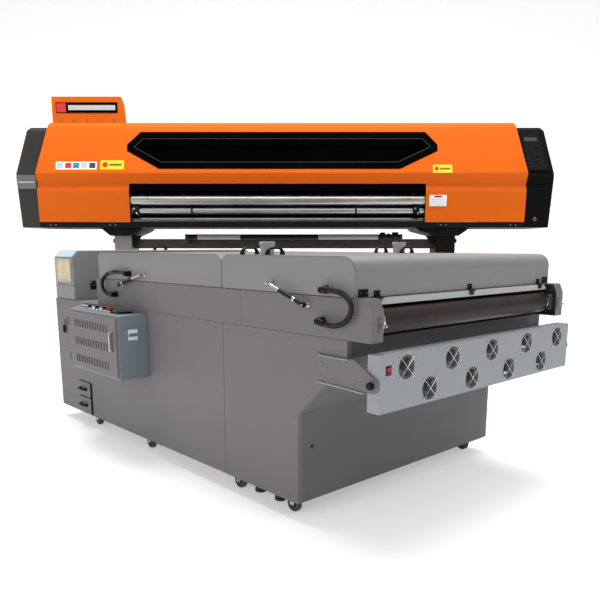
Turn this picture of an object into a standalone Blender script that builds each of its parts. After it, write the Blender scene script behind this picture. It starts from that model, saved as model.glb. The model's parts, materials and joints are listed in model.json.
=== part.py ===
"""Wide-format UV printer with its conveyor curing tunnel, standing at an angle to each other.

Metres, +Z up. The floor is Z = 0, and the origin is the middle of the footprint. +X runs along the
printer, and the printer's front faces -Y. The tunnel has its own frame: x across it, y along it from the
outfeed end, turned by SKEW about Z. Each frame is an empty, and every piece is built in its machine's frame.
"""

import math

import bmesh
import bpy
from mathutils import Matrix, Vector

for old in list(bpy.data.objects):
    bpy.data.objects.remove(old, do_unlink=True)

# Driving dimensions of the whole
LIFT = 0.05  # both machines' frames stand this high above the floor, on casters and on pads
SKEW = math.radians(42.58)  # the tunnel's turn from the printer's normal
SWING_Y = 1.02  # the printer swings round this point on the tunnel's centre line
FRONT_FROM_SWING = 1.9444  # from that point to the printer's front plane
GAP = 0.0003  # between touching pieces
SHEET = 0.003  # folded sheet metal
ROUND = 24  # sides of a visible round piece

# Curing tunnel
HALF = 0.77  # half the width
LENGTH = 2.55  # of the lower cabinet
SKIRT_Z = 0.0375
WAIST_Z = 0.453  # where the front starts to lean out
NOSE_Y = -0.288  # the leaning front's foremost face
NOSE_Z = 0.735
DECK_Z = 0.807  # top of the lower cabinet
SEAM_Z = 0.974  # top of the conveyor rails
HOOD_Z = 1.128
HOOD_FRONT_Y = -0.322
HOOD_SPLIT_Y = 0.539
HOOD_REAR_Y = 1.845
HOOD_WALL = 0.004
PANEL_DEPTH = 0.025
PANEL_SPLIT_Y = 0.54
RAIL_WIDTH = 0.07
RAIL_FRONT_Y = -0.41
RAIL_REAR_Y = 1.885
RAIL_SEAMS = (0.392, 1.169)
ROLLER_Z = 0.8785
ROLLER_YS = (-0.335, 1.80)
ROLLER_RADIUS = 0.0485
BELT_RADIUS = 0.0525
BELT_THICKNESS = 0.003
BELT_HALF = 0.655
SHAFT_RADIUS = 0.015
HINGE_Z = 0.972
HINGE_YS = (-0.33, 1.853)  # outfeed hood, infeed hood

# Gas struts and hoses, on the near side: (y, z) of each end, in the strut's plane
STRUT_X = -0.80
STRUTS = {
    "outfeed": {"foot": (-0.065, 0.934), "head": (0.165, 1.014), "cylinder": 0.16, "rod_start": 0.02},
    "infeed": {"foot": (1.54, 0.944), "head": (1.273, 1.011), "cylinder": 0.175, "rod_start": 0.025},
}
PIN_RADIUS = 0.004
HOSE_X = -0.797
HOSE_RADIUS = 0.011
HOSES = {
    "outfeed": [(-0.152, 0.999), (-0.215, 1.000), (-0.283, 0.991), (-0.330, 0.966), (-0.346, 0.938),
                (-0.330, 0.906), (-0.283, 0.880), (-0.205, 0.869), (-0.130, 0.873)],
    "infeed": [(1.435, 1.014), (1.530, 1.021), (1.630, 1.014), (1.715, 0.990), (1.757, 0.950),
               (1.752, 0.917), (1.715, 0.892), (1.665, 0.882), (1.610, 0.884)],
}

# Infeed housing and control box
HOUSING_YS = (2.25, 2.5497)
HOUSING_HALF = 0.762
HOUSING_SEAM_Z = 0.9065
HOUSING_Z = 1.138
HOUSING_CHAMFER = 0.045
HOUSING_SLOT_HALF = 0.55
HOUSING_SLOT_Z = 0.962
BOX_DEPTH = 0.185
BOX_ZS = (0.430, 0.790)
BOX_FRONT_YS = (1.262, 1.895)
BOX_BACK_YS = (1.268, 2.12)
DOOR_DEPTH = 0.012
STOP_AT = (-0.857, 1.539)  # emergency stop, on the desk

# Cooling panel
PIVOT = (-0.424, 0.649)
FAN_YS = (-0.455, -0.393)  # front and back of the panel
FAN_ZS = (0.5375, 0.7655)
FAN_HALF = 0.7667
FAN_PITCH = 0.3125
FAN_ROWS = ((0.705, (-2, -1, 0, 1, 2)), (0.597, (-1.5, -0.5, 0.5, 1.5)))
FAN_MID = 0.018
FAN_SIZE = 0.092
FAN_BORE = 0.043
SWITCH_AT = (-0.717, 0.704)

# Casters
WHEEL_RADIUS = 0.040
WHEEL_WIDTH = 0.026
WHEEL_Z = WHEEL_RADIUS - LIFT
CASTER_X = 0.69
CASTER_TRAIL = 0.03
FRONT_CASTER_Y = 0.08
REAR_CASTER_Y = 2.13
PAN_Z = 0.095

# Printer, whose frame has x along it, and y back from its front plane
COVER_MID = -0.03
COVER_HALF = 2.187
COVER_TOP_HALF = 2.089
COVER_WALL = 0.005
BASE_Z = 1.332
COVER_Z = 1.38  # lower edge of the cover
BROW_Z = 1.80  # where the cover stands furthest forward
COVER_TOP_Z = 2.257
COVER_LEVELS = ((1.38, 0.030, 0.70), (1.655, 0.018, 0.70), (1.705, 0.045, 0.70), (1.80, 0.0, 0.70),
                (2.188, 0.1257, 0.70), (2.229, 0.145, 0.695), (2.257, 0.185, 0.66))
CAP_LEVELS = ((1.332, 0.050, 0.69, 2.382), (1.76, 0.024, 0.69, 2.395), (1.80, 0.024, 0.69, 2.393),
              (2.183, 0.144, 0.69, 2.318), (2.213, 0.174, 0.66, 2.290))
OPENING = (-1.3975, 1.2595)
OPENING_Z = 1.716
WINDOW = ((-1.29, 2.165), (1.25, 2.165), (1.354, 2.055), (1.354, 2.0), (1.02, 1.842),
          (-1.118, 1.842), (-1.405, 2.0), (-1.405, 2.055))
SIGN = ((-2.0965, 2.253), (-1.4395, 2.253), (-1.452, 2.418), (-1.4755, 2.4816), (-2.0965, 2.4816))
BROW_SLOPE = 0.115 / 0.355
WINDOW_DEPTH = 0.010
PLATEN_Z = 1.63
PLATEN_YS = (0.16, 0.56)
FEED_AT = (0.085, 1.571)
FEED_RADIUS = 0.044
GUIDES = ((0.095, 1.480, 0.030), (0.105, 1.390, 0.036))  # y, z, radius
CARRIAGE_X = (1.40, 1.78)
RAIL_YS = (0.50, 0.58)
COLUMNS = ((-1.605, -1.445), (1.405, 1.585))
BRACKETS = ((-1.690, -1.308), (1.1975, 1.680))
BEAM_ZS = (1.144, 1.232)
TAKE_UP = (-0.9145, 1.0625)
TAKE_UP_AT = (0.20, 1.25)
TAKE_UP_RADIUS = 0.022
POWER_AT = (2.255, 1.407)


def material(name, colour, roughness, metallic=0.0):
    made = bpy.data.materials.new(name)
    made.use_nodes = True
    shader = made.node_tree.nodes["Principled BSDF"]
    shader.inputs["Base Color"].default_value = (*colour, 1)
    shader.inputs["Roughness"].default_value = roughness
    shader.inputs["Metallic"].default_value = metallic
    return made


GREY = material("grey_paint", (0.21, 0.20, 0.195), 0.5)
LIGHT_GREY = material("light_grey_paint", (0.38, 0.39, 0.40), 0.45)
ORANGE = material("orange_shell", (0.85, 0.16, 0.012), 0.4)
DARK = material("dark_plastic", (0.035, 0.035, 0.035), 0.45)
BLACK = material("black_plastic", (0.012, 0.012, 0.012), 0.35)
STEEL = material("steel", (0.60, 0.59, 0.57), 0.25, 1.0)
BELT = material("belt", (0.060, 0.035, 0.028), 0.6)
RUBBER = material("rubber", (0.02, 0.02, 0.02), 0.7)
RED = material("red_plastic", (0.60, 0.01, 0.01), 0.35)
ZINC = material("zinc", (0.55, 0.53, 0.45), 0.35, 1.0)
GLASS = material("dark_glass", (0.008, 0.008, 0.009), 0.08)


def solid_from(bm):
    """A scratch object holding this mesh, with its faces pointing out."""
    bmesh.ops.recalc_face_normals(bm, faces=bm.faces)
    mesh = bpy.data.meshes.new("shape")
    bm.to_mesh(mesh)
    bm.free()
    made = bpy.data.objects.new("shape", mesh)
    bpy.context.scene.collection.objects.link(made)
    return made


def box(low, high):
    bm = bmesh.new()
    bmesh.ops.create_cube(bm, size=1)
    size = Vector(high) - Vector(low)
    middle = (Vector(high) + Vector(low)) / 2
    bmesh.ops.transform(bm, matrix=Matrix.Translation(middle) @ Matrix.Diagonal((*size, 1)), verts=bm.verts)
    return solid_from(bm)


def placed(axis, along, first, second):
    """A point from its place along an axis and its two other coordinates, in X, Y, Z order."""
    point = [first, second]
    point.insert("XYZ".index(axis), along)
    return point


def prism(outline, axis, start, end):
    """An outline in the two other coordinates, extruded along an axis."""
    bm = bmesh.new()
    face = bm.faces.new([bm.verts.new(placed(axis, start, *point)) for point in outline])
    extruded = bmesh.ops.extrude_face_region(bm, geom=[face], use_keep_orig=True)
    moved = [item for item in extruded["geom"] if isinstance(item, bmesh.types.BMVert)]
    bmesh.ops.translate(bm, verts=moved, vec=placed(axis, end - start, 0, 0))
    return solid_from(bm)


def rod(centre, radius, axis, start, end, sides=ROUND):
    return prism(arc(centre, radius, 0, 360 - 360 / sides, sides - 1), axis, start, end)


def arc(centre, radius, first, last, steps):
    angles = [math.radians(first + (last - first) * step / steps) for step in range(steps + 1)]
    return [(centre[0] + radius * math.cos(turn), centre[1] + radius * math.sin(turn)) for turn in angles]


def stack(levels):
    """A closed loft through rectangles, each given as z, y_low, y_high, x_low, x_high."""
    bm = bmesh.new()
    rings = []
    for z, y_low, y_high, x_low, x_high in levels:
        corners = ((x_low, y_low), (x_high, y_low), (x_high, y_high), (x_low, y_high))
        rings.append([bm.verts.new((x, y, z)) for x, y in corners])
    bm.faces.new(rings[0])
    bm.faces.new(rings[-1])
    for below, above in zip(rings, rings[1:]):
        for side in range(4):
            after = (side + 1) % 4
            bm.faces.new((below[side], below[after], above[after], above[side]))
    return solid_from(bm)


def combined(base, others, operation):
    """The base with the other solids joined to it or cut from it. The others are used up."""
    for other in others:
        modifier = base.modifiers.new(operation.lower(), "BOOLEAN")
        modifier.operation = operation
        modifier.solver = "EXACT"
        modifier.object = other
    graph = bpy.context.evaluated_depsgraph_get()
    mesh = bpy.data.meshes.new_from_object(base.evaluated_get(graph))
    base.modifiers.clear()
    base.data = mesh
    for other in others:
        bpy.data.objects.remove(other)
    return base


def joined(base, *others):
    return combined(base, others, "UNION")


def cut(base, *others):
    return combined(base, others, "DIFFERENCE")


def inset(outline, distance):
    """The outline moved inwards by a distance, with mitred corners. The outline runs anticlockwise."""
    moved = []
    for before, point, after in zip(outline[-1:] + outline[:-1], outline, outline[1:] + outline[:1]):
        first = (Vector(point) - Vector(before)).normalized()
        second = (Vector(after) - Vector(point)).normalized()
        first_normal = Vector((-first.y, first.x))
        second_normal = Vector((-second.y, second.x))
        mitre = (first_normal + second_normal) / (1 + first_normal.dot(second_normal))
        moved.append(tuple(Vector(point) + mitre * distance))
    return moved


def ribbon(line, thickness, start, end):
    """A bent sheet along X: its outer line in (y, z), with the thickness on the line's left side."""
    inner = []
    for index, point in enumerate(line):
        before = Vector(line[max(index - 1, 0)])
        after = Vector(line[min(index + 1, len(line) - 1)])
        first = (Vector(point) - before).normalized() if index else (after - Vector(point)).normalized()
        second = (after - Vector(point)).normalized() if index < len(line) - 1 else first
        first_normal = Vector((-first.y, first.x))
        second_normal = Vector((-second.y, second.x))
        mitre = (first_normal + second_normal) / (1 + first_normal.dot(second_normal))
        inner.append(tuple(Vector(point) + mitre * thickness))
    return prism(list(line) + inner[::-1], "X", start, end)


def cassette(outline, skin_x, depth, wall=SHEET):
    """A folded tray in a plane of constant x: its skin at skin_x, and its open side depth further on."""
    inward = math.copysign(1, depth)
    body = prism(outline, "X", skin_x, skin_x + depth)
    return cut(body, prism(inset(outline, wall), "X", skin_x + inward * wall, skin_x + depth * 1.2))


def piece(name, shape, machine, paint, pivot=(0, 0, 0), smooth=False):
    """Names a finished shape as a part of a machine, with its origin at the pivot."""
    shape.name = name
    shape.data.name = name
    shape.data.transform(Matrix.Translation(-Vector(pivot)))
    shape.location = pivot
    shape.parent = machine
    shape.data.materials.clear()
    shape.data.materials.append(paint)
    if smooth:
        shape.data.shade_smooth()
        shape.data.set_sharp_from_angle(angle=math.radians(30))
    return shape


def front_outline(front_end, rear_end):
    """The lower cabinet's side in (y, z), with the leaning front where it reaches that far."""
    lower = [(front_end, SKIRT_Z), (rear_end, SKIRT_Z), (rear_end, DECK_Z - GAP)]
    return lower + [(NOSE_Y, DECK_Z - GAP), (NOSE_Y, NOSE_Z), (front_end, WAIST_Z)]


def roller(centre, radius, drum, shaft_radius, shaft):
    """A tubular roller along X on a through shaft, held by a bar across the tube near each end."""
    wall = 0.006
    inside = rod(centre, radius - wall, "X", drum[0] - 0.01, drum[1] + 0.01)
    tube = cut(rod(centre, radius, "X", *drum), inside)
    y, z = centre
    reach = radius - wall / 2
    ends = (drum[0] + 0.01, drum[1] - 0.022)
    bars = [box((x, y - reach, z - 0.008), (x + 0.012, y + reach, z + 0.008)) for x in ends]
    return joined(tube, rod(centre, shaft_radius, "X", *shaft), *bars)


def lower_cabinet(tunnel):
    front = front_outline(0, PANEL_SPLIT_Y - GAP)
    rear_low = PANEL_SPLIT_Y + 0.0015
    rear = [(rear_low, SKIRT_Z), (LENGTH, SKIRT_Z), (LENGTH, DECK_Z - GAP), (rear_low, DECK_Z - GAP)]
    piece("left_front_panel", cassette(front, -HALF, PANEL_DEPTH), tunnel, GREY)
    piece("left_rear_panel", cassette(rear, -HALF, PANEL_DEPTH), tunnel, GREY)
    piece("right_side_panel", cassette(front_outline(0, LENGTH), HALF, -PANEL_DEPTH), tunnel, GREY)
    inside = HALF - PANEL_DEPTH - GAP
    nose = ((NOSE_Y + 0.04, DECK_Z - GAP), (NOSE_Y, DECK_Z - GAP), (NOSE_Y, NOSE_Z), (0, WAIST_Z),
            (0, SKIRT_Z))
    piece("front_panel", ribbon(nose, SHEET, -inside, inside), tunnel, GREY)
    back = ((LENGTH, SKIRT_Z), (LENGTH, DECK_Z - GAP), (RAIL_REAR_Y - 0.05, DECK_Z - GAP))
    piece("rear_panel", ribbon(back, SHEET, -inside, inside), tunnel, GREY)
    pan = box((-inside, SHEET + GAP, PAN_Z), (inside, LENGTH - SHEET - GAP, PAN_Z + 0.004))
    piece("floor_pan", pan, tunnel, GREY)


def conveyor_rail(side):
    """One rail, an open channel with a bearing at each roller and, on the near side, the struts' pins."""
    outline = [(RAIL_FRONT_Y, DECK_Z + GAP), (RAIL_REAR_Y, DECK_Z + GAP), (RAIL_REAR_Y, 0.955)]
    outline += [(RAIL_REAR_Y - 0.018, SEAM_Z - GAP), (-0.39, SEAM_Z - GAP), (RAIL_FRONT_Y, 0.93)]
    rail = cassette(outline, side * HALF, -side * RAIL_WIDTH)
    skin = side * (HALF - SHEET / 2)
    inner = side * (HALF - RAIL_WIDTH + 0.001)
    for middle in ROLLER_YS:
        block = [(middle - 0.045, ROLLER_Z - 0.04), (middle + 0.045, ROLLER_Z - 0.04)]
        block += [(middle + 0.045, ROLLER_Z + 0.04), (middle - 0.045, ROLLER_Z + 0.04)]
        bearing = prism(block, "X", skin, inner)
        rail = joined(rail, bearing)
        bore_end = side * (HALF - 0.005)
        bore = rod((middle, ROLLER_Z), SHAFT_RADIUS + 0.0004, "X", bore_end, side * (HALF - 0.1))
        rail = cut(rail, bore)
    groove = [(0.0, 0.8), (0.002, 0.8), (0.002, 1.0), (0.0, 1.0)]
    for seam in RAIL_SEAMS:
        outline = [(seam + y, z) for y, z in groove]
        rail = cut(rail, prism(outline, "X", side * (HALF - 0.0012), side * (HALF + 0.01)))
    if side < 0:
        for strut in STRUTS.values():
            rail = joined(rail, rod(strut["foot"], PIN_RADIUS, "X", skin, STRUT_X - 0.010, 12))
    return rail


def conveyor(tunnel):
    piece("left_conveyor_rail", conveyor_rail(-1), tunnel, GREY)
    piece("right_conveyor_rail", conveyor_rail(1), tunnel, GREY)
    top = ROLLER_Z + BELT_RADIUS - BELT_THICKNESS - GAP
    reach = HALF - RAIL_WIDTH - 0.0005
    bed = box((-reach, ROLLER_YS[0] + 0.057, top - 0.045), (reach, ROLLER_YS[1] - 0.057, top))
    pocket_low = (-reach + 0.004, ROLLER_YS[0] + 0.061, top - 0.05)
    pocket = box(pocket_low, (reach - 0.004, ROLLER_YS[1] - 0.061, top - 0.004))
    piece("conveyor_bed", cut(bed, pocket), tunnel, STEEL)
    loops = []
    for radius, reach in ((BELT_RADIUS, BELT_HALF), (BELT_RADIUS - BELT_THICKNESS, BELT_HALF * 1.1)):
        loop = arc((ROLLER_YS[1], ROLLER_Z), radius, -90, 90, 12)
        loop += arc((ROLLER_YS[0], ROLLER_Z), radius, 90, 270, 12)
        loops.append(prism(loop, "X", -reach, reach))
    piece("conveyor_belt", cut(*loops), tunnel, BELT, smooth=True)
    for name, middle in zip(("outfeed_roller", "infeed_roller"), ROLLER_YS):
        drum_end, shaft_end = 0.675, HALF - 0.008
        drum, shaft = (-drum_end, drum_end), (-shaft_end, shaft_end)
        made = roller((middle, ROLLER_Z), ROLLER_RADIUS, drum, SHAFT_RADIUS, shaft)
        piece(name, made, tunnel, STEEL, (0, middle, ROLLER_Z), smooth=True)
    lip = [(-0.348, 0.944), (-0.315, 0.944), (-0.315, 0.9705), (-0.337, 0.9705), (-0.348, 0.955)]
    piece("outfeed_hinge_bar", prism(lip, "X", -0.6985, 0.6985), tunnel, LIGHT_GREY)


def heater_bank(tunnel):
    """Infra-red lamps over the belt under a reflector, on two bars that stand on the rails."""
    first, last, lamps = -0.12, 1.68, 13
    bars = [box((x - 0.014, first - 0.03, SEAM_Z), (x + 0.014, last + 0.03, 1.056)) for x in (-0.722, 0.722)]
    reflector = box((-0.73, first - 0.02, 1.050), (0.73, last + 0.02, 1.053))
    places = [first + (last - first) * lamp / (lamps - 1) for lamp in range(lamps)]
    tubes = [rod((y, 1.026), 0.009, "X", -0.72, 0.72, 8) for y in places]
    piece("heater_bank", joined(reflector, *bars, *tubes), tunnel, STEEL)


def hood(front, rear, front_radius, rear_radius, wall_is_front):
    """A folded hood, open below, and open at the end where it meets the other hood."""
    def outline(grow, bottom):
        low, high, top = front + grow, rear - grow, HOOD_Z - grow
        made = [(low, bottom), (high, bottom)]
        made += arc((high - rear_radius + grow, top - rear_radius + grow), rear_radius - grow, 0, 90, 6)
        made += arc((low + front_radius - grow, top - front_radius + grow), front_radius - grow, 90, 180, 6)
        return made

    shell = prism(outline(0, SEAM_Z + GAP), "X", -HALF, HALF)
    inner = HALF - HOOD_WALL
    shell = cut(shell, prism(outline(HOOD_WALL, SEAM_Z - 0.02), "X", -inner, inner))
    open_y = rear if wall_is_front else front
    return cut(shell, box((-0.745, open_y - 0.03, SEAM_Z - 0.02), (0.745, open_y + 0.03, 1.07)))


def hoods(tunnel):
    outfeed = hood(HOOD_FRONT_Y, HOOD_SPLIT_Y - 0.001, 0.06, 0.05, True)
    infeed = hood(HOOD_SPLIT_Y + 0.001, HOOD_REAR_Y, 0.05, 0.05, False)
    for shell, name, hinge_y in ((outfeed, "outfeed", HINGE_YS[0]), (infeed, "infeed", HINGE_YS[1])):
        stud = rod(STRUTS[name]["head"], PIN_RADIUS, "X", -HALF + 0.002, STRUT_X + 0.0105, 12)
        piece(name + "_hood", joined(shell, stud), tunnel, LIGHT_GREY, (0, hinge_y, HINGE_Z))


def along_strut(shape, foot, head):
    """Turns a shape built along +Y at the origin so that it runs from foot to head in the strut's plane."""
    turn = math.atan2(head[1] - foot[1], head[0] - foot[0])
    shape.data.transform(Matrix.Rotation(turn, 4, "X"))
    shape.data.transform(Matrix.Translation((STRUT_X, *foot)))
    return shape


def gas_struts(tunnel):
    for name, strut in STRUTS.items():
        foot, head = strut["foot"], strut["head"]
        length = math.dist(foot, head)
        pivot = (STRUT_X, *foot)
        tube = rod((0, 0), 0.0095, "Y", 0.004, strut["cylinder"], 16)
        eye = rod((0, 0), 0.0105, "X", -0.006, 0.006, 16)
        bore = rod((0, 0), 0.0045, "Y", strut["rod_start"] - 0.003, strut["cylinder"] + 0.01, 12)
        hole = rod((0, 0), PIN_RADIUS + 0.0003, "X", -0.02, 0.02, 12)
        cylinder = along_strut(cut(joined(tube, eye), bore, hole), foot, head)
        piece(name + "_strut_cylinder", cylinder, tunnel, BLACK, pivot, smooth=True)
        stem = rod((0, 0), 0.0038, "Y", strut["rod_start"], length, 12)
        knuckle = rod((length, 0), 0.0095, "X", -0.006, 0.006, 16)
        inner = along_strut(joined(stem, knuckle), foot, head)
        piece(name + "_strut_rod", inner, tunnel, STEEL, pivot, smooth=True)


def smooth_line(points, per_span):
    """A Catmull-Rom curve through the points."""
    ends = [2 * points[0] - points[1]] + points + [2 * points[-1] - points[-2]]
    line = []
    for a, b, c, d in zip(ends, ends[1:], ends[2:], ends[3:]):
        for step in range(per_span):
            t = step / per_span
            line.append(((2 * b) + (c - a) * t + (2 * a - 5 * b + 4 * c - d) * t * t
                         + (3 * b - a - 3 * c + d) * t * t * t) / 2)
    return line + [points[-1]]


def hoses(tunnel):
    """Cable conduits looped from each hood to its rail, each with the block of its two glands."""
    for name, route in HOSES.items():
        line = smooth_line([Vector((HOSE_X, y, z)) for y, z in route], 3)
        curve = bpy.data.curves.new("route", "CURVE")
        curve.dimensions = "3D"
        curve.bevel_depth = HOSE_RADIUS
        curve.bevel_resolution = 2
        curve.use_fill_caps = True
        spline = curve.splines.new("POLY")
        spline.points.add(len(line) - 1)
        for point, place in zip(spline.points, line):
            point.co = (*place, 1)
        guide = bpy.data.objects.new("route", curve)
        bpy.context.scene.collection.objects.link(guide)
        graph = bpy.context.evaluated_depsgraph_get()
        mesh = bpy.data.meshes.new_from_object(guide.evaluated_get(graph))
        bpy.data.objects.remove(guide)
        bm = bmesh.new()
        bm.from_mesh(mesh)
        bmesh.ops.remove_doubles(bm, verts=bm.verts, dist=0.00001)
        tube = solid_from(bm)
        blocks = []
        for y, z in (route[0], route[-1]):
            blocks.append(box((HOSE_X - 0.015, y - 0.016, z - 0.015), (-HALF - GAP, y + 0.016, z + 0.015)))
        piece(name + "_hose", joined(tube, *blocks), tunnel, BLACK)


def infeed_housing(tunnel):
    first, last = HOUSING_YS
    wall = HOOD_WALL
    base = box((-HOUSING_HALF, first, DECK_Z + GAP), (HOUSING_HALF, last, HOUSING_SEAM_Z - 0.0015))
    pocket = box((-HOUSING_HALF + wall, first + wall, DECK_Z + wall), (HOUSING_HALF - wall, last - wall, 1))
    piece("infeed_base", cut(base, pocket), tunnel, GREY)

    def outline(grow, bottom):
        side, top, chamfer = HOUSING_HALF - grow, HOUSING_Z - grow, HOUSING_CHAMFER
        return [(-side, bottom), (side, bottom), (side, top - chamfer), (side - chamfer, top),
                (-side + chamfer, top), (-side, top - chamfer)]

    lid = prism(outline(0, HOUSING_SEAM_Z), "Y", first, last)
    lid = cut(lid, prism(outline(wall, HOUSING_SEAM_Z - 0.02), "Y", first + wall, last - wall))
    slot = box((-HOUSING_SLOT_HALF, first - 0.1, 0.8), (HOUSING_SLOT_HALF, last + 0.1, HOUSING_SLOT_Z))
    piece("infeed_lid", cut(lid, slot), tunnel, GREY, (0, first, HOUSING_SEAM_Z))


def control_box(tunnel):
    back, front = -HALF - GAP, -HALF - BOX_DEPTH
    low, high = BOX_ZS

    def plan(wall):
        return [(front + wall, BOX_FRONT_YS[0] + wall), (back - wall, BOX_BACK_YS[0] + wall),
                (back - wall, BOX_BACK_YS[1] - wall * 1.6), (front + wall, BOX_FRONT_YS[1] - wall * 1.6)]

    case = cut(prism(plan(0), "Z", low, high), prism(plan(SHEET), "Z", low + SHEET, high - SHEET))
    mouth_low = (front - 0.02, BOX_FRONT_YS[0] + 0.02, low + 0.025)
    mouth = box(mouth_low, (front + 0.01, BOX_FRONT_YS[1] - 0.03, high - 0.025))
    hole = rod(STOP_AT, 0.0105, "Z", high - 0.01, high + 0.01, 16)
    piece("control_box_case", cut(case, mouth, hole), tunnel, GREY)

    hinge_y = BOX_FRONT_YS[1] - 0.012
    edge = [(BOX_FRONT_YS[0] + 0.008, low + 0.014), (hinge_y, low + 0.014), (hinge_y, high - 0.012),
            (BOX_FRONT_YS[0] + 0.008, high - 0.012)]
    leaf = cassette(edge, front - GAP - DOOR_DEPTH, DOOR_DEPTH, 0.002)
    grip = box((front - DOOR_DEPTH - 0.012, 1.306, 0.590), (front - DOOR_DEPTH, 1.322, 0.700))
    pivot = (front - GAP - DOOR_DEPTH, hinge_y, (low + high) / 2)
    piece("control_box_door", joined(leaf, grip), tunnel, GREY, pivot)

    stem = rod(STOP_AT, 0.0100, "Z", high - 0.008, high + 0.014, 16)
    head = rod(STOP_AT, 0.0200, "Z", high + 0.012, high + 0.026, 20)
    piece("emergency_stop", joined(head, stem), tunnel, RED, (*STOP_AT, high), smooth=True)


def fan_bracket(side):
    """A plate on the cabinet's side, with the pin that the cooling panel tilts on."""
    tip = arc(PIVOT, 0.032, 140, 275, 8)
    outline = [(-0.125, 0.629), (-0.125, 0.739), (-0.332, 0.736), (-0.405, 0.694)] + tip
    plate = prism(outline, "X", side * (HALF + GAP), side * (HALF + 0.006))
    return joined(plate, rod(PIVOT, 0.008, "X", side * (HALF - 0.012), side * (HALF + 0.004), 12))


def fan_places():
    for z, columns in FAN_ROWS:
        for column in columns:
            yield FAN_MID + column * FAN_PITCH, z


def cooling_panel(tunnel):
    front, back = FAN_YS
    body = box((-FAN_HALF, front, FAN_ZS[0]), (FAN_HALF, back, FAN_ZS[1]))
    wall = 0.0025
    corner = (FAN_HALF - wall, back + 0.01, FAN_ZS[1] - wall)
    pocket = box((-FAN_HALF + wall, front + wall, FAN_ZS[0] + wall), corner)
    body = cut(body, pocket)
    half = FAN_SIZE / 2
    for x, z in fan_places():
        frame = box((x - half, front + 0.001, z - half), (x + half, front + 0.028, z + half))
        body = joined(body, frame)
        body = cut(body, rod((x, z), FAN_BORE, "Y", front - 0.01, front + 0.05))
        hub = rod((x, z), 0.017, "Y", front + 0.0235, front + 0.0275, 12)
        arms = [box((x - half, front + 0.0235, z - 0.003), (x + half, front + 0.0275, z + 0.003)),
                box((x - 0.003, front + 0.0235, z - half), (x + 0.003, front + 0.0275, z + half))]
        body = joined(body, joined(hub, *arms))
    x, z = SWITCH_AT
    holes = [box((x - 0.010, front - 0.01, z - 0.0145), (x + 0.010, front + 0.02, z + 0.0145))]
    near, far = FAN_HALF - 0.01, FAN_HALF + 0.01
    holes += [rod(PIVOT, 0.0086, "X", side * near, side * far, 16) for side in (-1, 1)]
    piece("cooling_panel", cut(body, *holes), tunnel, LIGHT_GREY, (0, *PIVOT))
    roof = [(-0.0045, -0.012), (0.004, -0.013), (0.004, 0.013), (-0.0045, 0.012), (-0.0022, 0)]
    rocker = prism([(front + y, z + up) for y, up in roof], "X", x - 0.009, x + 0.009)
    piece("fan_switch", rocker, tunnel, RED, (x, front + 0.004, z))


def fan_rotor():
    """A seven-bladed rotor on the Y axis, its front at y = 0."""
    hub = rod((0, 0), 0.0165, "Y", 0, 0.016, 16)
    blades = []
    for turn in range(7):
        blade = box((0.010, 0.0005, -0.0007), (0.0405, 0.0155, 0.0007))
        blade.data.transform(Matrix.Translation((0, -0.008, 0)))
        blade.data.transform(Matrix.Rotation(math.radians(52), 4, "X"))
        blade.data.transform(Matrix.Translation((0, 0.008, 0)))
        blade.data.transform(Matrix.Rotation(math.tau * turn / 7, 4, "Y"))
        blades.append(blade)
    return joined(hub, *blades)


def fans(tunnel):
    rotor = fan_rotor()
    rotor.data.materials.clear()
    rotor.data.materials.append(BLACK)
    for number, (x, z) in enumerate(fan_places(), 1):
        made = bpy.data.objects.new(f"fan_rotor_{number}", rotor.data)
        bpy.context.scene.collection.objects.link(made)
        made.location = (x, FAN_YS[0] + 0.006, z)
        made.parent = tunnel
    bpy.data.objects.remove(rotor)


def fork(x, wheel_y, top):
    """Two caster legs and their axle, without the head that they hang from."""
    parts = []
    for side in (-1, 1):
        inner, outer = x + side * 0.0155, x + side * 0.0190
        leg = [(wheel_y - 0.013, WHEEL_Z - 0.006), (wheel_y + 0.013, WHEEL_Z - 0.006),
               (wheel_y + 0.016, top), (wheel_y - 0.030, top)]
        parts.append(prism(leg, "X", min(inner, outer), max(inner, outer)))
    parts.append(rod((wheel_y, WHEEL_Z), 0.005, "X", x - 0.0175, x + 0.0175, 12))
    return parts


def casters(tunnel):
    """Two swivelling casters in front and two fixed ones behind."""
    head_top = PAN_Z - GAP
    rear_beam = box((-0.72, REAR_CASTER_Y - 0.03, 0.0800), (0.72, REAR_CASTER_Y + 0.03, head_top))
    for side, place in ((-1, "left"), (1, "right")):
        x = side * CASTER_X
        wheel_y = FRONT_CASTER_Y + CASTER_TRAIL
        head = rod((x, FRONT_CASTER_Y), 0.030, "Z", 0.0850, head_top, 20)
        yoke = box((x - 0.019, FRONT_CASTER_Y - 0.01, 0.0800), (x + 0.019, wheel_y + 0.016, 0.0860))
        swivel = joined(head, yoke, *fork(x, wheel_y, 0.0815))
        piece(f"front_{place}_caster_fork", swivel, tunnel, ZINC, (x, FRONT_CASTER_Y, PAN_Z))
        rear_beam = joined(rear_beam, *fork(x, REAR_CASTER_Y, 0.0815))
        for row, y in (("front", wheel_y), ("rear", REAR_CASTER_Y)):
            sides = 24
            tread = WHEEL_RADIUS / math.cos(math.pi / sides)
            turns = [math.tau * (n + 0.5) / sides for n in range(sides)]
            turned = [(y + tread * math.cos(turn), WHEEL_Z + tread * math.sin(turn)) for turn in turns]
            tyre = prism(turned, "X", x - WHEEL_WIDTH / 2, x + WHEEL_WIDTH / 2)
            wheel = cut(tyre, rod((y, WHEEL_Z), 0.0054, "X", x - 0.05, x + 0.05, 12))
            piece(f"{row}_{place}_caster_wheel", wheel, tunnel, RUBBER, (x, y, WHEEL_Z), smooth=True)
    piece("rear_caster_beam", rear_beam, tunnel, ZINC)


def cover_half(z):
    """Half the cover's length at a height: straight up to the brow, then leaning in to the top."""
    lean = max(0, z - BROW_Z) / (COVER_TOP_Z - BROW_Z)
    return COVER_HALF + (COVER_TOP_HALF - COVER_HALF) * lean


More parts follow.
